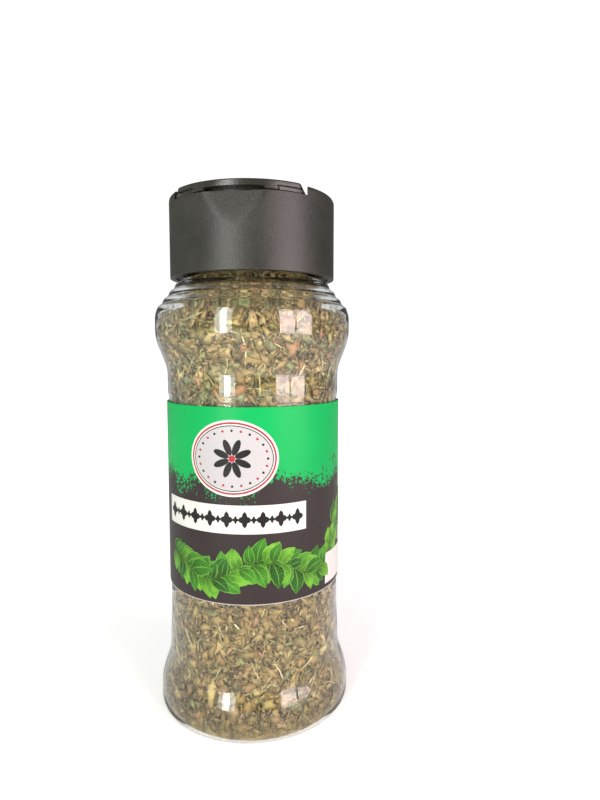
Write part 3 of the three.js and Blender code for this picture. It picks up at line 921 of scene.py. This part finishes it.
class SPICEJAR_OT_herb(bpy.types.Operator):
    """Lays seeded leaf scraps, crumbs and stalks against the inside of the jar around a crumbled core"""

    bl_idname = "spicejar.herb"
    bl_label = "Herb fill"

    def execute(self, context):
        settings = context.scene.spice_jar.herb
        wall = context.scene.spice_jar.jar.wall / MM
        rng = np.random.default_rng(settings.seed)
        self.rng = rng
        self.leaf = dried_leaf()
        self.side = side_wall(wall)
        # The core's dark finish is painted shade among the flakes.
        place_on(herb_mass("herb_core", wall), "jar", "dried_herb", shaded_herb_depths(), "herb_fill")
        kinds = kinds_of_scrap(settings.leaf_length / MM)
        for zone_name, zone in HERB_ZONES.items():
            stock = LEAVES_OF[zone_name]
            for name in ("broad", "leaves", "shreds", "crumbs"):
                kind = kinds[name]
                shapes = scraps(rng, getattr(settings, name), kind)
                self.lay(f"herb_{name}_{zone_name}", shapes, zone, kind.depth, kind.tilt, stock)
            shapes = stalk_bits(rng, settings.stalks)
            self.lay(f"herb_stalks_{zone_name}", shapes, zone, (0, 0.8), 9, STALKS_OF)
        crumb, loose = kinds["crumbs"], kinds["loose"]
        shapes = scraps(rng, FOOT_CRUMBS, crumb)
        self.lay("herb_crumbs_foot", shapes, FOOT_ZONE, crumb.depth, crumb.tilt, stock)
        shapes = scraps(rng, SEAM_SCRAPS, loose)
        behind_gap = np.pi + rng.uniform(-0.16, 0.16, SEAM_SCRAPS)
        label_zone = (PANEL_BOTTOM, PANEL_TOP)
        self.lay("herb_leaves_seam", shapes, label_zone, loose.depth, loose.tilt, stock, behind_gap)
        self.strew("herb_leaves_top", scraps(rng, TOP_SCRAPS, loose), stock)
        return {"FINISHED"}

    def lay(self, name, shapes, zone, depths, tilt_spread, stock, azimuth=None):
        """Lays shapes over a band of the wall, or at azimuths of their own, as one piece."""
        rng = self.rng
        local, faces = shapes
        count = len(local)
        depth = rng.uniform(*depths, count)
        around, z = spread(rng, count, zone)
        azimuth = around if azimuth is None else azimuth
        spin = rng.uniform(0, 2 * np.pi, count)
        tilt = rng.normal(0, np.radians(tilt_spread), count)
        turns = turn_matrices(spin, tilt, rng.uniform(0, 2 * np.pi, count))
        points = laid_on_wall(local, azimuth, z, turns, depth, self.side)
        # The tints carry painted shade by height: darker at the foot and in the neck under the cap's lip.
        self.make(name, points, faces, picked_tints(rng, count, *stock) * painted_shade_at(z)[:, None])

    def strew(self, name, shapes, stock):
        """Strews shapes over the domed top of the fill, under the cap, on a sunflower spiral."""
        rng = self.rng
        local, faces = shapes
        count = len(local)
        spin = rng.uniform(0, 2 * np.pi, count)
        turns = turn_matrices(spin, rng.normal(0, 0.4, count), rng.uniform(0, 2 * np.pi, count))
        points = np.einsum("nij,nkj->nki", turns, local)
        radius = TOP_RADIUS * np.sqrt((np.arange(count) + 0.5) / count)
        height = FILL_TOP + FILL_DOME * (1 - (radius / NECK_BORE) ** 2) + rng.uniform(-0.3, 0.5, count)
        points += around_z(radius, np.arange(count) * GOLDEN_ANGLE, height)[:, None, :]
        self.make(name, points, faces, picked_tints(rng, count, *stock))

    def make(self, name, points, faces, colours):
        piece = mesh_object(name, points.reshape(-1, 3), faces, sharp_degrees=0.0)
        tinted(piece, colours, points.shape[1])
        place_on(piece, "jar", "dried_herb", self.leaf, "herb_fill")


# Label

WHITE_INK = (0.47, 0.465, 0.44)
GREY_INK = (0.34, 0.33, 0.33)
RED_INK = (0.28, 0.02, 0.03)
DARK_INK = (0.012, 0.011, 0.011)
GREEN_INKS = np.array([
    (0.020, 0.11, 0.010),
    (0.040, 0.17, 0.015),
    (0.008, 0.055, 0.009),
    (0.085, 0.24, 0.02),
])

# The ovals of the field, each on the one before: half its width, half its height and its ink
OVALS = (
    (10.6, 8.7, WHITE_INK),
    (10.1, 8.2, RED_INK),
    (9.7, 7.8, WHITE_INK),
    (9.4, 7.5, DARK_INK),
    (9.2, 7.3, GREY_INK),
)


def wrapped(across, height, lift):
    """A point of the flat label, in millimetres along it and up, laid on the jar lift above the paper."""
    return around_z(LABEL_OUTER + lift, across / LABEL_OUTER, height)


def plates(across, height, high):
    """Thin closed plates that lie on the label: grids across[plate, row, column] and height, with a
    back just under the paper and a front at each plate's lift high. Returns points and faces."""
    count, rows, columns = across.shape
    size = rows * columns
    front = wrapped(across, height, high[:, None, None]).reshape(count, size, 3)
    back = wrapped(across, height, PLATE_BACK).reshape(count, size, 3)
    face = grid_faces(rows, columns, wrap_columns=False)
    index = np.arange(size).reshape(rows, columns)
    border = np.concatenate([index[0], index[1:, -1], index[-1, -2::-1], index[-2:0:-1, 0]])
    following = np.roll(border, -1)
    sides = np.column_stack([following, border, border + size, following + size])
    one = np.vstack([face, face[:, ::-1] + size, sides])
    return np.concatenate([front, back], 1).reshape(-1, 3), repeated([one], count, 2 * size)


def flat_panel(across, height):
    """A rectangle of the label as one plate, a grid of two rows."""
    u, v = np.meshgrid(np.linspace(*across, 90), height)
    return plates(u[None], v[None], np.array([0.12]))


def label_disc(outline, centre, high, steps):
    """A thin closed plate with an outline that its centre sees all of: the outline shrunk towards
    the centre in equal steps, at the back and again at the front."""
    share = np.linspace(0.03, 1.0, steps)
    share = np.concatenate([share, share[::-1]])[:, None, None]
    lift = np.repeat([PLATE_BACK, high], steps)[:, None]
    flat = np.array(centre) + share * outline
    return ring_stack(wrapped(flat[..., 0], flat[..., 1], lift))


def around_oval(radius_across, radius_up, turn):
    """A point of the oval field at an angle about its centre."""
    return OVAL_CENTRE[0] + radius_across * math.cos(turn), OVAL_CENTRE[1] + radius_up * math.sin(turn)


def leaf_grid(base, heading, length, width, rows=9, columns=7):
    """Pointed oval leaves on the flat label: s runs from base to tip and t from edge to edge, the
    half width is width * sin(pi s^0.8)^0.9 / 2, toothed, and the midrib bows a little to one side."""
    s = np.linspace(0.012, 0.988, rows)[None, :, None]
    t = np.linspace(1, -1, columns)[None, None, :]
    teeth = 1 + 0.05 * np.cos(np.pi * np.arange(rows))[None, :, None] * np.abs(t)
    half = 0.5 * width[:, None, None] * np.sin(np.pi * s**0.8) ** 0.9 * teeth
    along = s * length[:, None, None]
    sideways = t * half + 0.08 * length[:, None, None] * np.sin(np.pi * s)
    c, d = np.cos(heading)[:, None, None], np.sin(heading)[:, None, None]
    u = base[:, 0, None, None] + along * c - sideways * d
    v = base[:, 1, None, None] + along * d + sideways * c
    st = np.stack(np.broadcast_arrays(s, t), -1)
    return u, v, np.broadcast_to(st, (*u.shape, 2))


class SPICEJAR_OT_label(bpy.types.Operator):
    """Wraps the printed paper round the jar and lays its plain ornament on it"""

    bl_idname = "spicejar.label"
    bl_label = "Label"

    def execute(self, context):
        settings = context.scene.spice_jar.label
        for piece, finish in (
            (self.paper(), printed_paper(tuple(settings.green), tuple(settings.charcoal))),
            (self.ornament(), printed_ornament()),
            (self.garland(settings.seed), printed_leaves()),
        ):
            place_on(piece, "jar", "printed_label", finish, "label")
        return {"FINISHED"}

    def paper(self):
        """A band with a rounded rectangular section carried round the jar between the two ends."""
        corners = [(PAPER_BACK, LABEL_BOTTOM), (LABEL_OUTER, LABEL_BOTTOM)]
        corners += [(LABEL_OUTER, LABEL_TOP), (PAPER_BACK, LABEL_TOP)]
        section = np.array(corners)
        inward = 0.05 * np.sign(section.mean(0) - section)
        near = section + inward * (0, 1)
        far = section + inward * (1, 0)
        ring = np.array([near[0], far[0], far[1], near[1], near[2], far[2], far[3], near[3]])
        half = np.pi - math.radians(LABEL_GAP / 2)
        azimuth = np.linspace(-half, half, 241)[:, None]
        rings = around_z(ring[:, 0], azimuth, ring[:, 1])
        return mesh_object("label_paper", *ring_stack(rings[:, ::-1]))

    def ornament(self):
        """The oval field with its rims, dots and rosette, the pale strip with a row of lozenges, and
        the blank panel."""
        shapes = []
        for order, (half_across, half_up, ink) in enumerate(OVALS):
            disc = label_disc(oval(half_across, half_up), OVAL_CENTRE, 0.03 + 0.02 * order, 12)
            shapes.append((disc, ink))
        for order in range(24):
            spot = around_oval(8.1, 6.3, order * math.tau / 24)
            ink = RED_INK if order % 2 else DARK_INK
            shapes.append((label_disc(oval(0.28, 0.28, 12), spot, 0.135, 2), ink))
        for order in range(8):
            turn = order * math.tau / 8 + math.tau / 16
            c, d = math.cos(turn), math.sin(turn)
            petal = oval(1.9, 0.78, 32) @ np.array([[c, d], [-d, c]])
            shapes.append((label_disc(petal, around_oval(2.7, 2.7, turn), 0.135, 4), DARK_INK))
        shapes.append((label_disc(oval(0.75, 0.75, 24), OVAL_CENTRE, 0.15, 3), RED_INK))
        shapes.append((flat_panel(STRIP_ACROSS, STRIP_HEIGHT), WHITE_INK))
        shapes.append((flat_panel(PANEL_ACROSS, PANEL_HEIGHT), WHITE_INK))
        angle = np.linspace(0, 2 * np.pi, 16, endpoint=False)
        lozenge = oval(1.0, 1.25, 16) * (0.55 + 0.45 * np.cos(2 * angle) ** 2)[:, None]
        middle = 0.5 * sum(STRIP_HEIGHT)
        for order, u in enumerate(np.linspace(STRIP_ACROSS[0] + 2.4, STRIP_ACROSS[1] - 2.4, 17)):
            size = 0.75 if order % 2 else 1.55
            shapes.append((label_disc(lozenge * size, (u, middle), 0.14, 3), DARK_INK))
        shells, inks = zip(*shapes)
        ornament = mesh_object("label_ornament", *joined(shells))
        tinted(ornament, np.array(inks), [len(points) for points, _ in shells])
        return ornament

    def garland(self, seed):
        """A wavy runner along the foot of the label with paired leaves, larger in the middle."""
        rng = np.random.default_rng(seed)
        pairs = GARLAND_PAIRS
        count = 2 * pairs
        u = np.linspace(*GARLAND_SPAN, pairs) + rng.uniform(-0.4, 0.4, pairs)
        v = GARLAND_Z + GARLAND_WAVE * np.sin(u / GARLAND_REACH) + 7.5 * smooth_step(20.0, 33.0, u)
        slope = np.arctan2(GARLAND_WAVE / GARLAND_REACH * np.cos(u / GARLAND_REACH), 1.0)
        base = np.repeat(np.column_stack([u, v]), 2, axis=0)
        side = np.tile([1.0, -1.0], pairs)
        heading = np.repeat(slope, 2) + side * rng.uniform(0.55, 1.45, count)
        length = rng.uniform(4.0, 6.6, count)
        too_low = base[:, 1] + length * np.sin(heading) < LABEL_BOTTOM + 1.25
        length = np.where(too_low, length * 0.8, length)
        width = length * rng.uniform(0.55, 0.72, count)
        grid_u, grid_v, st = leaf_grid(base, heading, length, width)
        grid_v = np.clip(grid_v, LABEL_BOTTOM + 0.5, LABEL_TOP)
        points, faces = plates(grid_u, grid_v, 0.03 + 0.0012 * rng.permutation(count))
        garland = mesh_object("label_garland", points, faces)
        uv_by_point = np.concatenate([st.reshape(count, -1, 2)] * 2, 1).reshape(-1, 2)
        loops = np.zeros(len(garland.data.loops), np.int32)
        garland.data.loops.foreach_get("vertex_index", loops)
        layer = garland.data.uv_layers.new(name="leaf")
        layer.uv.foreach_set("vector", uv_by_point[loops].astype(np.float32).ravel())
        inks = GREEN_INKS[rng.integers(0, 4, count)] * rng.uniform(0.8, 1.2, (count, 1))
        tinted(garland, inks, len(points) // count)
        return garland


# Cap and doors


def cap_profile():
    """The cap's section from the middle of its underside, down the bore, round the lip and up the
    outer wall to the middle of its top, with the ears' rounded top edge."""
    beads = []
    for z in CAP_BEADS[::-1]:
        beads += bead(CAP_BORE, CAP_BEAD_RADIUS, z)[::-1]
    angle = np.linspace(0, np.pi / 2, 9)
    centre = (CAP_RADIUS - CAP_EDGE_ROUND, TOTAL_HEIGHT - CAP_EDGE_ROUND)
    line = [(0.5, DECK_UNDER), (CAP_BORE, DECK_UNDER), *beads]
    line += [(CAP_BORE, CAP_BOTTOM), (CAP_RADIUS, CAP_BOTTOM), (CAP_RADIUS, centre[1])]
    line += zip(centre[0] + CAP_EDGE_ROUND * np.cos(angle), centre[1] + CAP_EDGE_ROUND * np.sin(angle))
    return line + [(0.5, TOTAL_HEIGHT)]


def scooped(rings):
    """Presses a flat facet into the front and rear of the outer wall. The facet is a plane that
    leans in with height; a point outside it moves in along the radius, with a soft join."""
    radius = np.hypot(rings[..., 0], rings[..., 1])
    cosine = np.abs(rings[..., 1]) / np.maximum(radius, 1e-6)
    plane = CAP_RADIUS - SCOOP_SLOPE * (rings[..., 2] - SCOOP_BOTTOM)
    beyond = CAP_RADIUS - plane / np.maximum(cosine, 0.3)
    soft = 0.5 * (beyond + np.sqrt(beyond**2 + SCOOP_JOIN**2))
    depth = soft - 0.5 * SCOOP_JOIN * np.exp(-(beyond**2) / 0.5)
    on_wall = smooth_step(CAP_BORE + 0.2, CAP_BORE + 0.9, radius) * (rings[..., 2] > CAP_BOTTOM + 2)
    factor = 1 - np.maximum(depth, 0.0) * on_wall / np.maximum(radius, 1.0)
    return rings * vectors(factor, factor, 1.0)


def lid_outline(radius, half, near):
    """A D seen from above, counterclockwise: a straight hinge edge at y = -near, two straight ends
    at x = half and -half, and an arc between them; corners rounded by a running mean."""
    far_y = math.sqrt(radius**2 - half**2)
    swing = math.asin(half / radius)
    edge = np.linspace(half, -half, 90, endpoint=False)
    left = np.linspace(-near, -far_y, 30, endpoint=False)
    right = np.linspace(-far_y, -near, 30, endpoint=False)
    arc = np.linspace(-swing, swing, 104, endpoint=False)
    x = np.concatenate([edge, np.full(30, -half), radius * np.sin(arc), np.full(30, half)])
    y = np.concatenate([np.full(90, -near), left, -radius * np.cos(arc), right])
    return np.column_stack([sum(np.roll(line, k) for k in (-1, 0, 1)) / 3 for line in (x, y)])


def door_lid(sign):
    """The lid: rings of the D outline from the hollow underside, round the rim and over the top.
    The rim lifts at the finger slot and draws in at the two recesses beside it."""
    lean = (DOOR_HALF_LOW - DOOR_HALF_HIGH) / (TOTAL_HEIGHT - DOOR_BOTTOM)
    hollow = CAP_RADIUS - RIM_INNER
    angle = np.linspace(0, np.pi / 2, 6)[1:]
    sections = [(7.0, DOOR_UNDER), (hollow + 0.1, DOOR_UNDER), (hollow, DOOR_UNDER - 0.1)]
    sections += [(hollow, DOOR_BOTTOM + 0.1), (hollow - 0.1, DOOR_BOTTOM), (0.1, DOOR_BOTTOM)]
    sections += [(0.0, DOOR_BOTTOM + 0.1), (0.0, RECESS_TOP - 0.04), (0.0, RECESS_TOP + 0.04)]
    sections += [(0.0, TOTAL_HEIGHT - DOOR_EDGE_ROUND)]
    top_edge = TOTAL_HEIGHT - DOOR_EDGE_ROUND * (1 - np.sin(angle))
    sections += zip(DOOR_EDGE_ROUND * (1 - np.cos(angle)), top_edge)
    sections += [(3.0, TOTAL_HEIGHT), (7.0, TOTAL_HEIGHT)]
    rings = []
    for inset, z in sections:
        half = DOOR_HALF_LOW - lean * (z - DOOR_BOTTOM) - inset
        outline = lid_outline(CAP_RADIUS - inset, half, DOOR_NEAR_Y + min(inset, 5.0))
        if inset < 0.6 and z < RECESS_TOP:
            radius = np.hypot(*outline.T)
            on_arc = smooth_step(CAP_RADIUS - inset - 0.3, CAP_RADIUS - inset - 0.1, radius)
            azimuth = np.degrees(np.abs(np.arctan2(outline[:, 0], -outline[:, 1])))
            window = smooth_step(RECESS_DEG[0] - 0.4, RECESS_DEG[0] + 0.4, azimuth)
            window *= 1 - smooth_step(RECESS_DEG[1] - 0.4, RECESS_DEG[1] + 0.4, azimuth)
            outline *= (1 - RECESS_DEPTH * window * on_arc / radius)[:, None]
        slot = smooth_step(-LIP_HALF - 0.2, -LIP_HALF + 0.2, -np.abs(outline[:, 0])) * (outline[:, 1] < -12)
        rings.append(vectors(*sign * outline.T, np.maximum(z, slot * LIP_BOTTOM)))
    return ring_stack(np.array(rings))


def door_plug(sign):
    """The rim under the lid that drops into the deck's pocket: a thin upright band round a D."""
    sections = [(0.0, DOOR_UNDER + 0.3), (0.0, PLUG_BOTTOM + 0.2), (0.2, PLUG_BOTTOM)]
    sections += [(PLUG_WALL - 0.2, PLUG_BOTTOM), (PLUG_WALL, PLUG_BOTTOM + 0.2)]
    sections += [(PLUG_WALL, DOOR_UNDER + 0.3)]
    rings = []
    for inset, z in sections[::-1]:
        outline = lid_outline(PLUG_RADIUS - inset, PLUG_HALF - inset, PLUG_NEAR_Y + inset)
        rings.append(vectors(*sign * outline.T, z))
    grid = np.array(rings)
    return grid.reshape(-1, 3), [grid_faces(*grid.shape[:2], wrap_rows=True)]


def cap_openings():
    """Seven round sifter holes at the front and a D-shaped spoon opening at the rear, as cutters."""
    hole = oval(HOLE_RADIUS, HOLE_RADIUS, 40)
    half = math.sqrt(SPOON_RADIUS**2 - SPOON_NEAR_Y**2) - 0.01
    outlines = [hole + centre + (0, HOLE_CENTRE_Y) for centre in [(0, 0), *oval(HOLE_RING, HOLE_RING, 6)]]
    outlines.append(-lid_outline(SPOON_RADIUS, half, SPOON_NEAR_Y))
    return [extruded(outline, DECK_UNDER - 1, DECK_TOP + 1) for outline in outlines]


class SPICEJAR_OT_cap(bpy.types.Operator):
    """Turns the cap, presses its scoops and cuts the door bays, sifter holes and spoon opening"""

    bl_idname = "spicejar.cap"
    bl_label = "Cap"

    def execute(self, context):
        settings = context.scene.spice_jar.cap
        line = thinned(softened(cap_profile(), spacing=0.05, reach=0.1), count=190)
        cap = mesh_object("cap_shell", *ring_stack(scooped(turned(line, settings.sides))))
        bays, pockets = [], []
        for sign in (-1, 1):
            low, high = sorted((sign * BRIDGE_Y, sign * (CAP_RADIUS + 2)))
            bay = np.array([(-EAR_X, low), (EAR_X, low), (EAR_X, high), (-EAR_X, high)])
            pocket = lid_outline(POCKET_RADIUS, EAR_X, BRIDGE_Y) * -sign
            bays.append(extruded(bay, LEDGE_Z, TOTAL_HEIGHT + 1))
            pockets.append(extruded(pocket, DECK_TOP, TOTAL_HEIGHT + 0.5))
        for shells in (bays, pockets, cap_openings()):
            cut_away(cap, shells)
        bevel = cap.modifiers.new("soft_edges", "BEVEL")
        bevel.width = 0.1 * MM
        bevel.segments = 2
        bevel.limit_method = "ANGLE"
        bevel.angle_limit = math.radians(50)
        apply_modifiers(cap)
        shade(cap.data, 35.0)
        matte = black_plastic("matte_black_plastic", settings.colour, 0.37, 0.06 * MM)
        place_on(cap, "cap", "black_plastic", matte, "cap_body")
        return {"FINISHED"}


class SPICEJAR_OT_doors(bpy.types.Operator):
    """Builds the two flip doors, each a lid with a plug rim under it"""

    bl_idname = "spicejar.doors"
    bl_label = "Doors"

    def execute(self, context):
        colour = context.scene.spice_jar.cap.colour
        satin = black_plastic("satin_black_plastic", colour, 0.2, 0.03 * MM)
        for name, body, node, sign in (
            ("sifter_lid", "sifter_door", "door_front", 1),
            ("spoon_lid", "spoon_door", "door_rear", -1),
        ):
            lid = mesh_object(name, *joined([door_lid(sign), door_plug(sign)]))
            place_on(lid, body, "black_plastic", satin, node)
        return {"FINISHED"}


# Stage

BACKDROP = 1.05
WHITE_LIGHT = (1.0, 1.0, 1.0)
CREAM_LIGHT = (0.98, 1.0, 0.91)
ROSE_LIGHT = (1.0, 0.84, 0.86)

# Window lights: azimuth, distance and height in metres, width in degrees, share of the power, colour
WINDOWS = {
    "left_window": (-21.0, 0.45, 0.4, 20.0, 1.0, CREAM_LIGHT),
    "left_pane": (-21.0, 0.44, 0.39, 8.0, 0.85, WHITE_LIGHT),
    "left_fill": (-80.0, 0.5, 0.4, 50.0, 0.22, CREAM_LIGHT),
    "right_pane_near": (50.0, 0.45, 0.34, 18.0, 1.1, ROSE_LIGHT),
    "right_pane_far": (71.0, 0.45, 0.34, 20.0, 1.1, ROSE_LIGHT),
}


def softbox(name, azimuth, distance, height, degrees_wide, power, colour):
    """An upright window light that stands on the floor at an azimuth, facing the jar."""
    lamp = bpy.data.lights.new(name, "AREA")
    lamp.shape = "RECTANGLE"
    lamp.size = 2 * distance * math.tan(math.radians(degrees_wide / 2))
    lamp.size_y = height
    lamp.energy = power
    lamp.color = colour
    light = bpy.data.objects.new(name, lamp)
    turn = math.radians(azimuth)
    light.location = around_z(distance, turn, height / 2)
    light.rotation_euler = (math.pi / 2, 0.0, turn)
    bpy.context.scene.collection.objects.link(light)


class SPICEJAR_OT_stage(bpy.types.Operator):
    """Lays the pale floor and sets the window lights, the surroundings and the camera"""

    bl_idname = "spicejar.stage"
    bl_label = "Stage"

    def execute(self, context):
        settings = context.scene.spice_jar.stage
        section = [(0.5, -5.0), (4000.0, -5.0), (4000.0, 0.0), (200.0, 0.0), (0.5, 0.0)]
        floor = mesh_object("floor", *ring_stack(turned(section, sides=64)))
        floor.data.materials.append(pale_floor())
        for name, (azimuth, distance, height, degrees_wide, share, colour) in WINDOWS.items():
            softbox(name, azimuth, distance, height, degrees_wide, share * settings.window, colour)
        self.surroundings(settings.sky, settings.mirrored)
        self.camera()
        context.scene.view_settings.view_transform = "Standard"
        return {"FINISHED"}

    def surroundings(self, brightness, mirrored):
        """A white backdrop seen past and through the jar, in a room of the given brightness that
        lights it and shows darker in reflections."""
        world = bpy.data.worlds.new("pale_room")
        world.use_nodes = True
        nodes = Nodes(world.node_tree)
        sky = world.node_tree.nodes["Background"].inputs
        seen, through, glossy = [nodes.ray(kind) for kind in ("Camera", "Transmission", "Glossy")]
        backdrop = (BACKDROP - brightness) * seen.greatest(through)
        nodes.plug(sky["Color"], (1.0, 1.0, 1.0, 1.0))
        nodes.plug(sky["Strength"], brightness + backdrop + (mirrored - brightness) * glossy)
        bpy.context.scene.world = world

    def camera(self):
        camera = bpy.data.cameras.new("camera")
        camera.sensor_width = 36.0
        camera.lens = CAMERA_LENS
        camera.clip_start = 0.005
        seat = bpy.data.objects.new("camera", camera)
        seat.location = CAMERA_PLACE
        seat.rotation_euler = Vector(CAMERA_FORWARD).to_track_quat("-Z", "Y").to_euler()
        bpy.context.scene.collection.objects.link(seat)
        bpy.context.scene.camera = seat


class SPICEJAR_PT_panel(bpy.types.Panel):
    """Settings and builders of the spice jar"""

    bl_label = "Spice Jar"
    bl_idname = "SPICEJAR_PT_panel"
    bl_space_type = "VIEW_3D"
    bl_region_type = "UI"
    bl_category = "Spice Jar"

    def draw(self, context):
        settings = context.scene.spice_jar
        for name in ("jar", "herb", "label", "cap", "doors", "stage"):
            box = self.layout.box()
            group = getattr(settings, name, None)
            if group is not None:
                for setting in group.__annotations__:
                    box.prop(group, setting)
            box.operator(f"spicejar.{name}")


CLASSES = (
    JarSettings,
    HerbSettings,
    LabelSettings,
    CapSettings,
    StageSettings,
    SpiceJarSettings,
    SPICEJAR_OT_jar,
    SPICEJAR_OT_herb,
    SPICEJAR_OT_label,
    SPICEJAR_OT_cap,
    SPICEJAR_OT_doors,
    SPICEJAR_OT_stage,
    SPICEJAR_PT_panel,
)


def register():
    for cls in CLASSES:
        bpy.utils.register_class(cls)
    bpy.types.Scene.spice_jar = PointerProperty(type=SpiceJarSettings)


def unregister():
    del bpy.types.Scene.spice_jar
    for cls in reversed(CLASSES):
        bpy.utils.unregister_class(cls)


def main():
    register()
    bpy.ops.spicejar.stage()
    bpy.ops.spicejar.jar()
    bpy.ops.spicejar.herb()
    bpy.ops.spicejar.label()
    bpy.ops.spicejar.cap()
    bpy.ops.spicejar.doors()


if __name__ == "__main__":
    main()
